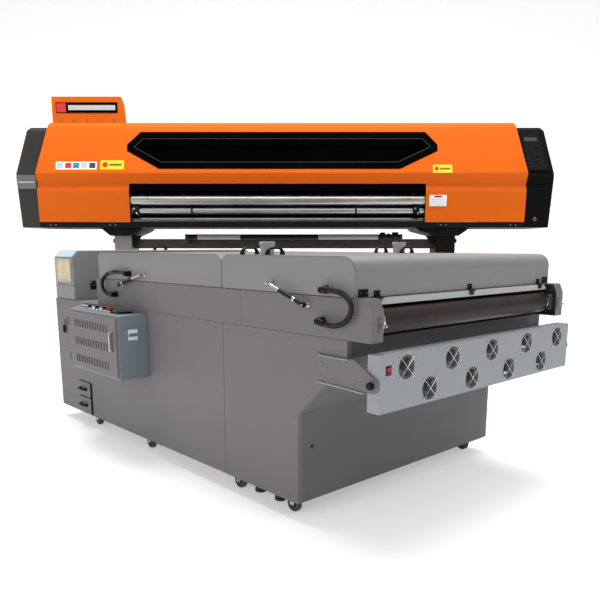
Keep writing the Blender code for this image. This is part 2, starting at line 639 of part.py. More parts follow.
def on_brow(outline, out, deep):
    """A plate with its outline in (x, z) on the cover's leaning face, from out in front to deep behind."""
    normal = Vector((0, -1, BROW_SLOPE)).normalized()
    bm = bmesh.new()
    places = [Vector((x, (z - BROW_Z) * BROW_SLOPE, z)) + normal * out for x, z in outline]
    face = bm.faces.new([bm.verts.new(place) for place in places])
    extruded = bmesh.ops.extrude_face_region(bm, geom=[face], use_keep_orig=True)
    moved = [item for item in extruded["geom"] if isinstance(item, bmesh.types.BMVert)]
    bmesh.ops.translate(bm, verts=moved, vec=-normal * (out + deep))
    return solid_from(bm)


def top_cover(printer):
    """The orange shell: two wings, the strip below the window, the top, the back and the sign box on it."""
    outer = []
    inner = []
    for z, front, back in COVER_LEVELS:
        half = cover_half(z)
        outer.append((z, front, back, COVER_MID - half, COVER_MID + half))
        inner.append((z, front + COVER_WALL, back - COVER_WALL, -2.6, 2.6))
    inner[0] = (COVER_LEVELS[0][0] - 0.02, *inner[0][1:])
    inner[-1] = (COVER_TOP_Z - COVER_WALL, *inner[-1][1:])
    shell = cut(stack(outer), stack(inner))
    hexagon = inset([*WINDOW][::-1], -0.003)
    mouth = box((OPENING[0], -0.1, 1.3), (OPENING[1], 0.2, OPENING_Z))
    rear_slot = box((-1.9, 0.6, 1.3), (1.9, 0.8, 1.76))
    shell = cut(shell, on_brow(hexagon, 0.03, 0.03), mouth, rear_slot)
    piece("top_cover", joined(shell, prism(SIGN, "Y", 0.19, 0.23)), printer, ORANGE)


def end_cap(side):
    """A moulded end, hollow and open towards the cover. side is -1 for the left one."""
    def levels(wall, inner_shift, bottom, top):
        made = []
        for z, front, back, reach in CAP_LEVELS:
            near = cover_half(z) + 0.0012 + inner_shift
            ends = sorted((side * (near + side * COVER_MID), side * (reach - wall)))
            made.append((z, front + wall, back - wall, *ends))
        made[0] = (bottom, *made[0][1:])
        made[-1] = (top, *made[-1][1:])
        return made

    solid = stack(levels(0, 0, CAP_LEVELS[0][0], CAP_LEVELS[-1][0]))
    low, high = CAP_LEVELS[0][0] + 0.006, CAP_LEVELS[-1][0] - 0.006
    cap = cut(solid, stack(levels(0.006, -0.3, low, high)))
    if side > 0:
        cap = cut(cap, rod(POWER_AT, 0.0124, "Y", -0.1, 0.1, 20))
    return cap


def head(printer):
    """The long printing head: base with platen and guides, rail, carriage, shells, window and feed roller."""
    left, right = COVER_MID - COVER_HALF, COVER_MID + COVER_HALF
    tray = box((left, 0.035, BASE_Z), (right, 0.695, COVER_Z - GAP))
    tray = cut(tray, box((left + 0.004, 0.039, BASE_Z + 0.004), (right - 0.004, 0.691, 1.5)))
    ends = [box((x, 0.048, BASE_Z + 0.002), (x + 0.015, 0.60, PLATEN_Z - 0.001))
            for x in (OPENING[0] - 0.018, OPENING[1] + 0.003)]
    start, end = OPENING
    front, back = PLATEN_YS
    platen = box((start - 0.010, front, PLATEN_Z - 0.03), (end + 0.010, back, PLATEN_Z))
    hollow = box((start, front + 0.005, 1.5), (end, back - 0.005, PLATEN_Z - 0.005))
    guides = [rod((y, z), radius, "X", OPENING[0] - 0.010, OPENING[1] + 0.010) for y, z, radius in GUIDES]
    base = joined(tray, *ends, cut(platen, hollow), *guides)
    bore = rod(FEED_AT, 0.0125, "X", OPENING[0] - 0.05, OPENING[1] + 0.05, 16)
    piece("head_base", cut(base, bore), printer, DARK)

    drum = (OPENING[0] + 0.002, OPENING[1] + 0.001)
    made = roller(FEED_AT, FEED_RADIUS, drum, 0.012, (OPENING[0] - 0.015, OPENING[1] + 0.015))
    piece("feed_roller", made, printer, STEEL, (0, *FEED_AT), smooth=True)

    beam = box((-2.10, RAIL_YS[0], 1.86), (2.05, RAIL_YS[1], 2.00))
    beam = cut(beam, box((-2.2, RAIL_YS[0] + 0.006, 1.866), (2.1, RAIL_YS[1] - 0.006, 1.994)))
    post_zs = (COVER_Z - 0.04, 1.868)
    post_ys = (RAIL_YS[0] + 0.002, RAIL_YS[1] - 0.002)
    posts = [box((x, post_ys[0], post_zs[0]), (x + 0.04, post_ys[1], post_zs[1])) for x in (-2.098, 2.008)]
    ridge = box((-2.05, RAIL_YS[0] - 0.012, 1.915), (2.00, RAIL_YS[0] + 0.01, 1.945))
    piece("carriage_rail", joined(beam, *posts, ridge), printer, STEEL)

    low, high = CARRIAGE_X
    block = box((low, 0.20, 1.66), (high, RAIL_YS[0] - 0.013, 1.95))
    shoe = box((low + 0.03, RAIL_YS[0] - 0.02, 1.947), (high - 0.03, RAIL_YS[0] - 0.001, 1.96))
    lower_shoe = box((low + 0.03, RAIL_YS[0] - 0.02, 1.895), (high - 0.03, RAIL_YS[0] - 0.001, 1.913))
    piece("carriage", joined(block, shoe, lower_shoe), printer, BLACK, ((low + high) / 2, 0.34, 1.80))

    top_cover(printer)
    piece("left_end_cap", end_cap(-1), printer, DARK)
    piece("right_end_cap", end_cap(1), printer, DARK)
    hinge_z = WINDOW[0][1]
    hinge = (COVER_MID, (hinge_z - BROW_Z) * BROW_SLOPE, hinge_z)
    piece("front_window", on_brow(WINDOW, 0, WINDOW_DEPTH), printer, GLASS, hinge)
    button = rod(POWER_AT, 0.0118, "Y", 0.040, 0.066, 20)
    piece("power_button", button, printer, RED, (POWER_AT[0], 0.040, POWER_AT[1]), smooth=True)


def stand_leg(column, bracket):
    """A box column with a cable hole, under a wide head bracket and on a foot bar with two levelling pads."""
    low, high = column
    wall = 0.006
    top = BASE_Z - GAP
    plate = [(bracket[0], top), (bracket[0] + 0.03, 1.305), (low, 1.262), (high, 1.262),
             (bracket[1] - 0.03, 1.305), (bracket[1], top)]
    saddle = prism(plate, "Y", 0.10, 0.62)
    post = box((low, 0.22, 0.10), (high, 0.50, 1.27))
    foot = box((low + 0.02, -0.03, 0.055), (high - 0.02, 0.79, 0.112))
    leg = joined(saddle, post, foot)
    saddle_hollow = prism(inset(plate, wall), "Y", 0.10 + wall, 0.70)
    post_hollow = box((low + wall, 0.22 + wall, 0.12), (high - wall, 0.50 - wall, 1.25))
    foot_hollow = box((low + 0.02 + wall, -0.1, 0.055 + wall), (high - 0.02 - wall, 0.9, 0.112 - wall))
    cable_hole = box((low + 0.05, 0.45, 0.30), (high - 0.05, 0.55, 0.38))
    leg = cut(leg, saddle_hollow, post_hollow, foot_hollow, cable_hole)
    pads = [rod(((low + high) / 2, y), 0.04, "Z", -LIFT, 0.058, 16) for y in (0.02, 0.74)]
    return joined(leg, *pads)


def stand(printer):
    for name, column, bracket in zip(("left_stand_leg", "right_stand_leg"), COLUMNS, BRACKETS):
        piece(name, stand_leg(column, bracket), printer, GREY)
    y, z = TAKE_UP_AT
    start, end = TAKE_UP
    beam = box((COLUMNS[0][1] + GAP, 0.31, BEAM_ZS[0]), (COLUMNS[1][0] - GAP, 0.41, BEAM_ZS[1]))
    arms = [box((x, y - 0.025, 1.19), (x + 0.02, 0.33, z + 0.025)) for x in (start - 0.022, end + 0.002)]
    hole = rod(TAKE_UP_AT, 0.0105, "X", start - 0.1, end + 0.1, 16)
    piece("stand_beam", cut(joined(beam, *arms), hole), printer, DARK)
    tube = rod(TAKE_UP_AT, TAKE_UP_RADIUS, "X", start, end)
    spindle = rod(TAKE_UP_AT, 0.010, "X", start - 0.020, end + 0.020, 16)
    flanges = [rod(TAKE_UP_AT, 0.038, "X", x, x + 0.02) for x in (end - 0.185, end - 0.045)]
    piece("media_shaft", joined(tube, spindle, *flanges), printer, STEEL, (0, *TAKE_UP_AT), smooth=True)


def frame(name, location, turn):
    made = bpy.data.objects.new(name, None)
    bpy.context.scene.collection.objects.link(made)
    made.location = location
    made.rotation_euler.z = turn
    return made


def centre(frames):
    """Moves both frames so that the middle of the footprint is the origin."""
    bpy.context.view_layer.update()
    points = [made.matrix_world @ vertex.co for made in bpy.data.objects if made.type == "MESH"
              for vertex in made.data.vertices]
    lows, highs = [[pick(point[axis] for point in points) for axis in (0, 1)] for pick in (min, max)]
    for made in frames:
        made.location -= Vector(((lows[0] + highs[0]) / 2, (lows[1] + highs[1]) / 2, 0))


def build():
    tunnel = frame("tunnel_frame", (0, 0, LIFT), SKEW)
    swing = Matrix.Rotation(SKEW, 3, "Z") @ Vector((0, SWING_Y, 0))
    printer = frame("printer_frame", swing + Vector((0, FRONT_FROM_SWING, LIFT)), 0)
    lower_cabinet(tunnel)
    conveyor(tunnel)
    heater_bank(tunnel)
    hoods(tunnel)
    gas_struts(tunnel)
    hoses(tunnel)
    infeed_housing(tunnel)
    control_box(tunnel)
    piece("left_fan_bracket", fan_bracket(-1), tunnel, GREY)
    piece("right_fan_bracket", fan_bracket(1), tunnel, GREY)
    cooling_panel(tunnel)
    fans(tunnel)
    casters(tunnel)
    head(printer)
    stand(printer)
    centre((tunnel, printer))


build()
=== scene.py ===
"""Looks of a wide-format UV printer and its conveyor curing tunnel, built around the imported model.

Metres, +Z up. A piece is drawn in the frame of its machine and then placed. The tunnel's x runs across it
and its y back from the outfeed end. The printer's x runs along it and its y back from its front.
"""

import json
import math

import bmesh
import bpy
from mathutils import Matrix, Vector


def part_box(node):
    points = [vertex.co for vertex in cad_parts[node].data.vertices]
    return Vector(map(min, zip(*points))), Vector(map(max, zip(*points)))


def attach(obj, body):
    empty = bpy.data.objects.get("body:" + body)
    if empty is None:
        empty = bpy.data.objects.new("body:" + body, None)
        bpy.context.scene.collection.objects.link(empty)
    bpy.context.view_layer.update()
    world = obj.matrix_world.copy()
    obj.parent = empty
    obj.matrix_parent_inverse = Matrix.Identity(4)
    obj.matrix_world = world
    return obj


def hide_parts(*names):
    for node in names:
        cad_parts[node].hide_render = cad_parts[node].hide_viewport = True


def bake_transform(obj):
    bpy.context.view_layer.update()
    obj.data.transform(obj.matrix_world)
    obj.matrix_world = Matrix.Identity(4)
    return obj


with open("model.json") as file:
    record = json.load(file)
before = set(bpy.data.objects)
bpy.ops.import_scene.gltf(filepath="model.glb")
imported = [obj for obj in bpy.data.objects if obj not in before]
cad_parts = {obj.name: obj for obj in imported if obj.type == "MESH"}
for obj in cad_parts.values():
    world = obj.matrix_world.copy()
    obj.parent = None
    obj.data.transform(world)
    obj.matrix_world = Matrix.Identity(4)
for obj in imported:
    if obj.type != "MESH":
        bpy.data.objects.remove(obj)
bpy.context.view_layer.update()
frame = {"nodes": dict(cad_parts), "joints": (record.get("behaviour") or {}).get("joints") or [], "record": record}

# The two machines' frames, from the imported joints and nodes
JOINTS = {joint["name"]: joint for joint in frame["joints"]}
OUTFEED_ROLLER_Y = -0.335
ACROSS = Vector(JOINTS["outfeed_roller_turn"]["axis"]).normalized()
ALONG = Vector((-ACROSS.y, ACROSS.x, 0))
TUNNEL_TURN = math.atan2(ACROSS.y, ACROSS.x)
ROLLER_AT = Vector(JOINTS["outfeed_roller_turn"]["pos_m"])
ROLLER_Z = 0.8785
LIFT = ROLLER_AT.z - ROLLER_Z
TUNNEL_ORIGIN = ROLLER_AT - ALONG * OUTFEED_ROLLER_Y - Vector((0, 0, ROLLER_Z))
TUNNEL = Matrix.Translation(TUNNEL_ORIGIN) @ Matrix.Rotation(TUNNEL_TURN, 4, "Z")
PRINTER = Matrix.Translation((0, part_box("top_cover")[0].y, LIFT))
BODY_OF = {node: body for body, nodes in frame["record"]["behaviour"]["bodies"].items() for node in nodes}


def extent(node, machine):
    """A CAD node's lowest and highest corner in its machine's frame."""
    inverse = machine.inverted()
    places = [inverse @ vertex.co for vertex in frame["nodes"][node].data.vertices]
    return [Vector([pick(place[axis] for place in places) for axis in range(3)]) for pick in (min, max)]


# Lengths that many pieces are placed by
NEAR_X = extent("left_front_panel", TUNNEL)[0].x
FAR_X = -NEAR_X
SEAM_Z = extent("left_conveyor_rail", TUNNEL)[1].z
HOOD_FRONT_Y = extent("outfeed_hood", TUNNEL)[0].y
HOOD_SPLIT_Y = extent("outfeed_hood", TUNNEL)[1].y
HOOD_REAR_Y = extent("infeed_hood", TUNNEL)[1].y
HOOD_Z = extent("outfeed_hood", TUNNEL)[1].z
RAIL_FRONT_Y = extent("left_conveyor_rail", TUNNEL)[0].y
INFEED_ROLLER_Y = (TUNNEL.inverted() @ Vector(JOINTS["infeed_roller_turn"]["pos_m"])).y
LID_LOW, LID_HIGH = extent("infeed_lid", TUNNEL)
BOX_LOW, BOX_HIGH = extent("control_box_case", TUNNEL)
DOOR_LOW, DOOR_HIGH = extent("control_box_door", TUNNEL)
PANEL_LOW, PANEL_HIGH = extent("cooling_panel", TUNNEL)
PIVOT = TUNNEL.inverted() @ Vector(JOINTS["cooling_panel_tilt"]["pos_m"])
CABINET_END_Y = extent("left_rear_panel", TUNNEL)[1].y
BROW_Z = 1.8
BROW_SLOPE = 0.115 / 0.355
COVER_BACK_Y = extent("top_cover", PRINTER)[1].y
OPENING = (-1.3975, 1.2595)
WINDOW = ((-1.29, 2.165), (1.25, 2.165), (1.354, 2.055), (1.354, 2.0), (1.02, 1.842), (-1.118, 1.842),
          (-1.405, 2.0), (-1.405, 2.055))
WHEEL_TOP = extent("front_left_caster_wheel", TUNNEL)[1].z
SHARP_ANGLE = math.radians(32)
HINGE_XS = (-0.64, 0.014, 0.655)
HANDLE_XS = (-0.52, 0.51)
LID_HINGE_XS = (-0.625, 0.625)
LOUVRES = [(1.385 + column * 0.034, z) for z in (0.714, 0.607, 0.5) for column in range(13)]
SERVICE_PANEL_XS = (-1.15, 0.0, 1.15)


# ---------------------------------------------------------------- materials

def node(tree, kind, settings=None, **inputs):
    """A shader node. An input is a value, or another node's output to link."""
    made = tree.nodes.new("ShaderNode" + kind)
    for key, value in (settings or {}).items():
        setattr(made, key, value)
    for key, value in inputs.items():
        numbered = key[0] == "i" and key[1:].isdigit()
        socket = made.inputs[int(key[1:]) if numbered else key.replace("_", " ")]
        if isinstance(value, bpy.types.NodeSocket):
            tree.links.new(value, socket)
        else:
            socket.default_value = value
    return made


def maths(tree, operation, first, second=0.0):
    return node(tree, "Math", {"operation": operation}, i0=first, i1=second).outputs[0]


def blended(tree, share, first, second):
    """A colour between two, by a share from 0 to 1."""
    mix = node(tree, "Mix", {"data_type": "RGBA"}, i0=share, i6=first, i7=second)
    return mix.outputs[2]


def ranged(tree, value, low, high, out_low=0.0, out_high=1.0):
    return node(tree, "MapRange", Value=value, From_Min=low, From_Max=high, To_Min=out_low,
                To_Max=out_high).outputs[0]


def start_material(name, roughness, metallic=0.0):
    made = bpy.data.materials.new(name)
    made.use_nodes = True
    shader = made.node_tree.nodes["Principled BSDF"]
    shader.inputs["Metallic"].default_value = metallic
    shader.inputs["Roughness"].default_value = roughness
    return made, made.node_tree, shader


def tinted(colour, factor):
    return (*[min(1.0, part * factor) for part in colour], 1)


def surface(name, colour, roughness, metallic=0.0, grain=900.0, depth=0.00008, mottle=0.12, patch=2.2,
            stretch=(1, 1, 1), turn=0.0, scuffs=0.0, dust=0.0, shine=0.25):
    """A finish with patches of shade, fine grain in relief, hairline scuffs and dust low down."""
    made, tree, shader = start_material(name, roughness, metallic)
    shader.inputs["Specular IOR Level"].default_value = shine
    place = node(tree, "TexCoord").outputs["Object"]
    spun = node(tree, "Mapping", Vector=place, Rotation=(0, 0, -turn)).outputs[0]
    drawn = node(tree, "Mapping", Vector=spun, Scale=stretch).outputs[0]
    patches = node(tree, "TexNoise", Vector=place, Scale=patch, Detail=5.0, Roughness=0.6).outputs["Fac"]
    fine = node(tree, "TexNoise", Vector=drawn, Scale=grain, Detail=3.0, Roughness=0.55).outputs["Fac"]
    shade = blended(tree, ranged(tree, patches, 0.3, 0.7), tinted(colour, 1 - mottle),
                    tinted(colour, 1 + mottle))
    shade = blended(tree, ranged(tree, fine, 0.35, 0.7, 0, 0.35), shade, tinted(colour, 1 - mottle * 2.2))
    if dust:
        height = node(tree, "SeparateXYZ", Vector=place).outputs[2]
        low = ranged(tree, height, 0.42, 0.03)
        amount = maths(tree, "MULTIPLY", maths(tree, "MULTIPLY", low, patches), dust)
        shade = blended(tree, amount, shade, (0.1, 0.095, 0.085, 1))
    if scuffs:
        lines = node(tree, "Mapping", Vector=spun, Rotation=(0.4, 0.3, 0.9), Scale=(1.5, 60, 60)).outputs[0]
        marks = node(tree, "TexNoise", Vector=lines, Scale=3.0, Detail=6.0, Roughness=0.7).outputs["Fac"]
        shade = blended(tree, ranged(tree, marks, 0.66, 0.74, 0, scuffs), shade, tinted(colour, 1.5))
    tree.links.new(shade, shader.inputs["Base Color"])
    rough = ranged(tree, patches, 0.3, 0.7, max(0.03, roughness - 0.07), min(1, roughness + 0.09))
    tree.links.new(rough, shader.inputs["Roughness"])
    bump = node(tree, "Bump", Strength=0.6, Distance=depth, Height=fine).outputs[0]
    tree.links.new(bump, shader.inputs["Normal"])
    return made


def woven(name, colour, thread):
    """Coated open mesh: two sets of threads, in the UV map's metres."""
    made, tree, shader = start_material(name, 0.42)
    shader.inputs["Specular IOR Level"].default_value = 0.2
    place = node(tree, "UVMap", {"uv_map": "UVMap"}).outputs[0]
    parts = node(tree, "SeparateXYZ", Vector=place)
    turns = math.tau / thread
    warp = maths(tree, "SINE", maths(tree, "MULTIPLY", parts.outputs[0], turns))
    weft = maths(tree, "SINE", maths(tree, "MULTIPLY", parts.outputs[1], turns))
    height = maths(tree, "MAXIMUM", maths(tree, "ABSOLUTE", warp), maths(tree, "ABSOLUTE", weft))
    patches = node(tree, "TexNoise", Vector=place, Scale=9.0, Detail=6.0, Roughness=0.65).outputs["Fac"]
    thread_colour = blended(tree, ranged(tree, patches, 0.3, 0.7), tinted(colour, 0.7), tinted(colour, 1.5))
    shade = blended(tree, ranged(tree, height, 0.25, 0.9), tinted(colour, 0.25), thread_colour)
    streaks = node(tree, "TexNoise", Vector=node(tree, "Mapping", Vector=place, Scale=(1, 40, 1)).outputs[0],
                   Scale=4.0, Detail=4.0).outputs["Fac"]
    shade = blended(tree, ranged(tree, streaks, 0.55, 0.75, 0, 0.35), shade, tinted(colour, 2.4))
    tree.links.new(shade, shader.inputs["Base Color"])
    bump = node(tree, "Bump", Strength=0.8, Distance=0.0004, Height=height).outputs[0]
    tree.links.new(bump, shader.inputs["Normal"])
    return made


def smoked_glass(name):
    made, tree, shader = start_material(name, 0.06)
    place = node(tree, "TexCoord").outputs["Object"]
    haze = node(tree, "TexNoise", Vector=place, Scale=3.0, Detail=7.0, Roughness=0.6).outputs["Fac"]
    shade = blended(tree, ranged(tree, haze, 0.35, 0.7), (0.0003, 0.0003, 0.0003, 1),
                    (0.001, 0.001, 0.001, 1))
    tree.links.new(shade, shader.inputs["Base Color"])
    smears = ranged(tree, haze, 0.4, 0.75, 0.05, 0.16)
    tree.links.new(smears, shader.inputs["Roughness"])
    shader.inputs["Specular IOR Level"].default_value = 0.01
    return made


TUNNEL_GRAIN = {"grain": 650.0, "depth": 0.00012, "mottle": 0.05, "patch": 1.6}
GREY = surface("grey_powder_coat", (0.164, 0.149, 0.15), 0.52, scuffs=0.08, dust=0.7, **TUNNEL_GRAIN)
# The cabinet's grey lightened for the hoods and the infeed housing, so their tops read brighter under the top
# light: painted light.
LIT_HOOD_GREY = surface("hood_powder_coat_painted_light", (0.222, 0.218, 0.222), 0.38, scuffs=0.06, **TUNNEL_GRAIN)
BOX_PAINT = surface("box_powder_coat", (0.19, 0.222, 0.245), 0.48, scuffs=0.08, **TUNNEL_GRAIN)
FAN_PAINT = surface("panel_powder_coat", (0.285, 0.296, 0.315), 0.45, scuffs=0.06, **TUNNEL_GRAIN)
ORANGE = surface("orange_shell", (0.665, 0.119, 0.0085), 0.45, shine=0.05, grain=420.0, depth=0.00005,
                 mottle=0.03, patch=1.1, scuffs=0.04)
CAP = surface("cap_plastic", (0.036, 0.034, 0.032), 0.42, shine=0.15, grain=1100.0, depth=0.00018,
              mottle=0.14, scuffs=0.04)
RIGHT_CAP = surface("dark_cap_plastic", (0.0035, 0.0035, 0.004), 0.45, shine=0.06, grain=1100.0,
                    depth=0.00018, mottle=0.2, scuffs=0.02)
BLACK = surface("black_plastic", (0.004, 0.004, 0.005), 0.34, shine=0.18, grain=1300.0, depth=0.00012,
                mottle=0.25)
DARK_PAINT = surface("dark_paint", (0.011, 0.011, 0.011), 0.5, shine=0.03, grain=800.0, mottle=0.2,
                     scuffs=0.05)
RUBBER = surface("black_rubber", (0.004, 0.005, 0.006), 0.32, shine=0.3, grain=1500.0, depth=0.0002,
                 mottle=0.3)
TREAD = surface("caster_tread", (0.03, 0.029, 0.027), 0.62, grain=900.0, depth=0.0002, mottle=0.35,
                dust=0.9)
ZINC = surface("zinc_plate", (0.6, 0.55, 0.4), 0.3, 1.0, grain=500.0, mottle=0.2, patch=14.0)
BRIGHT = surface("bright_steel", (0.52, 0.52, 0.52), 0.24, 1.0, grain=400.0, depth=0.00003, mottle=0.08,
                 patch=9.0)
ROLLER = surface("ground_roller", (0.4, 0.39, 0.37), 0.32, 1.0, grain=60.0, depth=0.00003, mottle=0.1,
                 patch=3.0, stretch=(0.05, 14, 14))
BRUSHED = surface("brushed_steel", (0.58, 0.57, 0.56), 0.34, 1.0, grain=45.0, depth=0.00005, mottle=0.1,
                  stretch=(0.06, 16, 16), turn=TUNNEL_TURN)
ALUMINIUM = surface("drawn_aluminium", (0.66, 0.66, 0.67), 0.36, 1.0, grain=50.0, depth=0.00004, mottle=0.08,
                    stretch=(0.05, 14, 14))
RED = surface("red_plastic", (0.4, 0.006, 0.008), 0.3, grain=900.0, depth=0.00004, mottle=0.12)
YELLOW = surface("yellow_film", (0.88, 0.62, 0.03), 0.4, grain=700.0, depth=0.00003, mottle=0.06)
WHITE = surface("white_film", (0.8, 0.8, 0.79), 0.42, grain=700.0, depth=0.00003, mottle=0.05)
BLUE = surface("blue_film", (0.05, 0.2, 0.45), 0.4, grain=700.0, depth=0.00003, mottle=0.08)
PALE_BLUE = surface("pale_blue_film", (0.42, 0.55, 0.68), 0.35, grain=300.0, depth=0.00006, mottle=0.1)
RED_FILM = surface("red_film", (0.62, 0.03, 0.02), 0.4, grain=700.0, depth=0.00003, mottle=0.08)
BEIGE = surface("beige_trim", (0.45, 0.4, 0.3), 0.42, grain=800.0, mottle=0.08)
AMBER = surface("amber_window", (0.62, 0.54, 0.34), 0.16, grain=300.0, depth=0.00003, mottle=0.16,
                patch=9.0)
SEAL = surface("oxide_seal", (0.095, 0.016, 0.02), 0.6, grain=900.0, depth=0.0002, mottle=0.3, patch=5.0)
SCREEN = surface("screen_film", (0.01, 0.014, 0.02), 0.12, grain=500.0, depth=0.00002, mottle=0.25)
# Near-black for seams, grooves, vents and the inside of the head's opening: painted shade.
INNER_SHADE = surface("painted_inner_shade", (0.002, 0.002, 0.002), 0.75, shine=0.03, grain=500.0, mottle=0.3)
BELT = woven("belt_mesh", (0.02, 0.01, 0.008), 0.0045)
GLASS = smoked_glass("smoked_window")
BRONZE = surface("bronze_rail", (0.05, 0.04, 0.034), 0.4, 0.2, grain=50.0, depth=0.00004, mottle=0.12,
                 stretch=(0.05, 14, 14))
TUBE = surface("guide_tube", (0.44, 0.44, 0.43), 0.34, 1.0, grain=60.0, depth=0.00003, mottle=0.1, patch=3.0,
               stretch=(0.05, 14, 14))
SLEEVE = surface("shaft_sleeve", (0.3, 0.27, 0.26), 0.45, grain=300.0, mottle=0.1)
ROTOR = surface("rotor_plastic", (0.022, 0.027, 0.036), 0.4, grain=900.0, mottle=0.2)
PALE_BAR = surface("pale_bar", (0.42, 0.43, 0.42), 0.42, grain=700.0, mottle=0.08)
# The cabinet's grey darkened for the front panel under the fan panel's nose: painted shade.
SHADED_FRONT_GREY = surface("front_powder_coat_painted_shade", (0.125, 0.117, 0.12), 0.52, scuffs=0.08, dust=0.7, **TUNNEL_GRAIN)
BAND = surface("cap_band", (0.13, 0.125, 0.12), 0.38, grain=900.0, mottle=0.1)
BEIGE_PAINT = surface("beige_paint", (0.26, 0.235, 0.215), 0.45, grain=700.0, mottle=0.08)
DULL_LINE = surface("dull_trim", (0.05, 0.045, 0.032), 0.5, grain=700.0, mottle=0.15)
PALE_GREY = surface("pale_grey_film", (0.5, 0.51, 0.53), 0.45, grain=700.0, depth=0.00003, mottle=0.08)
OLIVE = surface("olive_ink", (0.2, 0.15, 0.02), 0.5, grain=700.0, depth=0.00003, mottle=0.15)
# Dark grey for the latch plate's paint and for painted shade in the louvres' slots.
DARK_GREY = surface("dark_grey_paint_and_slot_shade", (0.105, 0.095, 0.094), 0.6, grain=700.0, mottle=0.12)
DARK_STEEL = surface("dark_steel", (0.13, 0.13, 0.13), 0.35, 1.0, grain=400.0, depth=0.00003, mottle=0.15,
                     patch=9.0)
DARK_KEYS = surface("key_plastic", (0.055, 0.056, 0.058), 0.4, grain=1200.0, depth=0.0001, mottle=0.12)
GLOSS = surface("gloss_black", (0.001, 0.001, 0.0012), 0.25, shine=0.02, grain=260.0, depth=0.00002,
                mottle=0.2)


# ---------------------------------------------------------------- mesh tools

def placed(axis, along_axis, first, second):
    point = [first, second]
    point.insert("XYZ".index(axis), along_axis)
    return Vector(point)


def add_box(bm, low, high):
    made = bmesh.ops.create_cube(bm, size=1)["verts"]
    size, middle = Vector(high) - Vector(low), (Vector(high) + Vector(low)) / 2
    bmesh.ops.transform(bm, matrix=Matrix.Translation(middle) @ Matrix.Diagonal((*size, 1)), verts=made)


def drawn(add, *places, **settings):
    """A new mesh that holds one shape."""
    bm = bmesh.new()
    add(bm, *places, **settings)
    return bm


def joined(bm, near, far):
    """Two rings of vertices, closed and joined into a body."""
    bm.faces.new(near)
    bm.faces.new(far)
    for index in range(len(near)):
        after = (index + 1) % len(near)
        bm.faces.new((near[index], near[after], far[after], far[index]))
    return near + far


def add_prism(bm, outline, axis, start, end):
    """An outline in the two other coordinates, extruded along an axis."""
    return joined(bm, *[[bm.verts.new(placed(axis, place, *point)) for point in outline]
                        for place in (start, end)])


def arc(centre, radius, first, last, steps):
    angles = [math.radians(first + (last - first) * step / steps) for step in range(steps + 1)]
    return [(centre[0] + radius * math.cos(turn), centre[1] + radius * math.sin(turn)) for turn in angles]


def circle(centre, radius, sides):
    return arc(centre, radius, 0, 360 - 360 / sides, sides - 1)


def add_rod(bm, centre, radius, axis, start, end, sides=32):
    return add_prism(bm, circle(centre, radius, sides), axis, start, end)


def add_turned(bm, profile, axis, centre, sides=40, base=0, way=1):
    """A profile of (distance from the base, radius), turned about the axis. It closes at radius 0."""
    rings = []
    for distance, radius in profile:
        place = base + way * distance
        if radius < 1e-6:
            rings.append([bm.verts.new(placed(axis, place, *centre))])
        else:
            rings.append([bm.verts.new(placed(axis, place, *point)) for point in circle(centre, radius,
                                                                                        sides)])
    for before, after in zip(rings, rings[1:]):
        for index in range(sides):
            following = (index + 1) % sides
            corners = [before[index % len(before)], before[following % len(before)],
                       after[following % len(after)], after[index % len(after)]]
            unique = list(dict.fromkeys(corners))
            if len(unique) > 2:
                bm.faces.new(unique)
    return [vertex for ring in rings for vertex in ring]


def add_tube(bm, line, radius, sides=10, closed=False, radii=None):
    """A round section swept along a line, with its frame carried from point to point."""
    line = [Vector(point) for point in line]
    count = len(line)
    tangents = []
    for index in range(count):
        before = line[index - 1] if index or closed else line[0]
        after = line[(index + 1) % count] if index < count - 1 or closed else line[-1]
        tangents.append((after - before).normalized())
    side = tangents[0].orthogonal().normalized()
    rings = []
    for index, (point, tangent) in enumerate(zip(line, tangents)):
        side = (side - tangent * side.dot(tangent)).normalized()
        other = tangent.cross(side)
        reach = radii[index] if radii else radius
        rings.append([bm.verts.new(point + side * (reach * math.cos(math.tau * step / sides))
                                   + other * (reach * math.sin(math.tau * step / sides)))
                      for step in range(sides)])
    pairs = list(zip(rings, rings[1:])) + ([(rings[-1], rings[0])] if closed else [])
    for before, after in pairs:
        for step in range(sides):
            following = (step + 1) % sides
            bm.faces.new((before[step], before[following], after[following], after[step]))
    if not closed:
        bm.faces.new(rings[0])
        bm.faces.new(rings[-1])
    return [vertex for ring in rings for vertex in ring]


def smooth_line(points, per_span):
    """A Catmull-Rom curve through the points."""
    points = [Vector(point) for point in points]
    ends = [2 * points[0] - points[1]] + points + [2 * points[-1] - points[-2]]
    line = []
    for a, b, c, d in zip(ends, ends[1:], ends[2:], ends[3:]):
        for step in range(per_span):
            t = step / per_span
            squared, cubed = 2 * a - 5 * b + 4 * c - d, 3 * b - a - 3 * c + d
            line.append((2 * b + (c - a) * t + squared * t * t + cubed * t * t * t) / 2)
    return line + [points[-1]]


def smooth_object(name, bm, paint):
    """A mesh object, smooth between its sharp edges."""
    mesh = bpy.data.meshes.new(name)
    bm.to_mesh(mesh)
    bm.free()
    if "custom_normal" in mesh.attributes:
        mesh.attributes.remove(mesh.attributes["custom_normal"])
    mesh.materials.clear()
    mesh.materials.append(paint)
    mesh.shade_smooth()
    mesh.set_sharp_from_angle(angle=SHARP_ANGLE)
    made = bpy.data.objects.new(name, mesh)
    bpy.context.scene.collection.objects.link(made)
    return made


def round_edges(made, width, segments, method):
    rounding = made.modifiers.new("rounding", "BEVEL")
    rounding.width = width
    rounding.segments = segments
    rounding.limit_method = method
    rounding.harden_normals = True
    return rounding


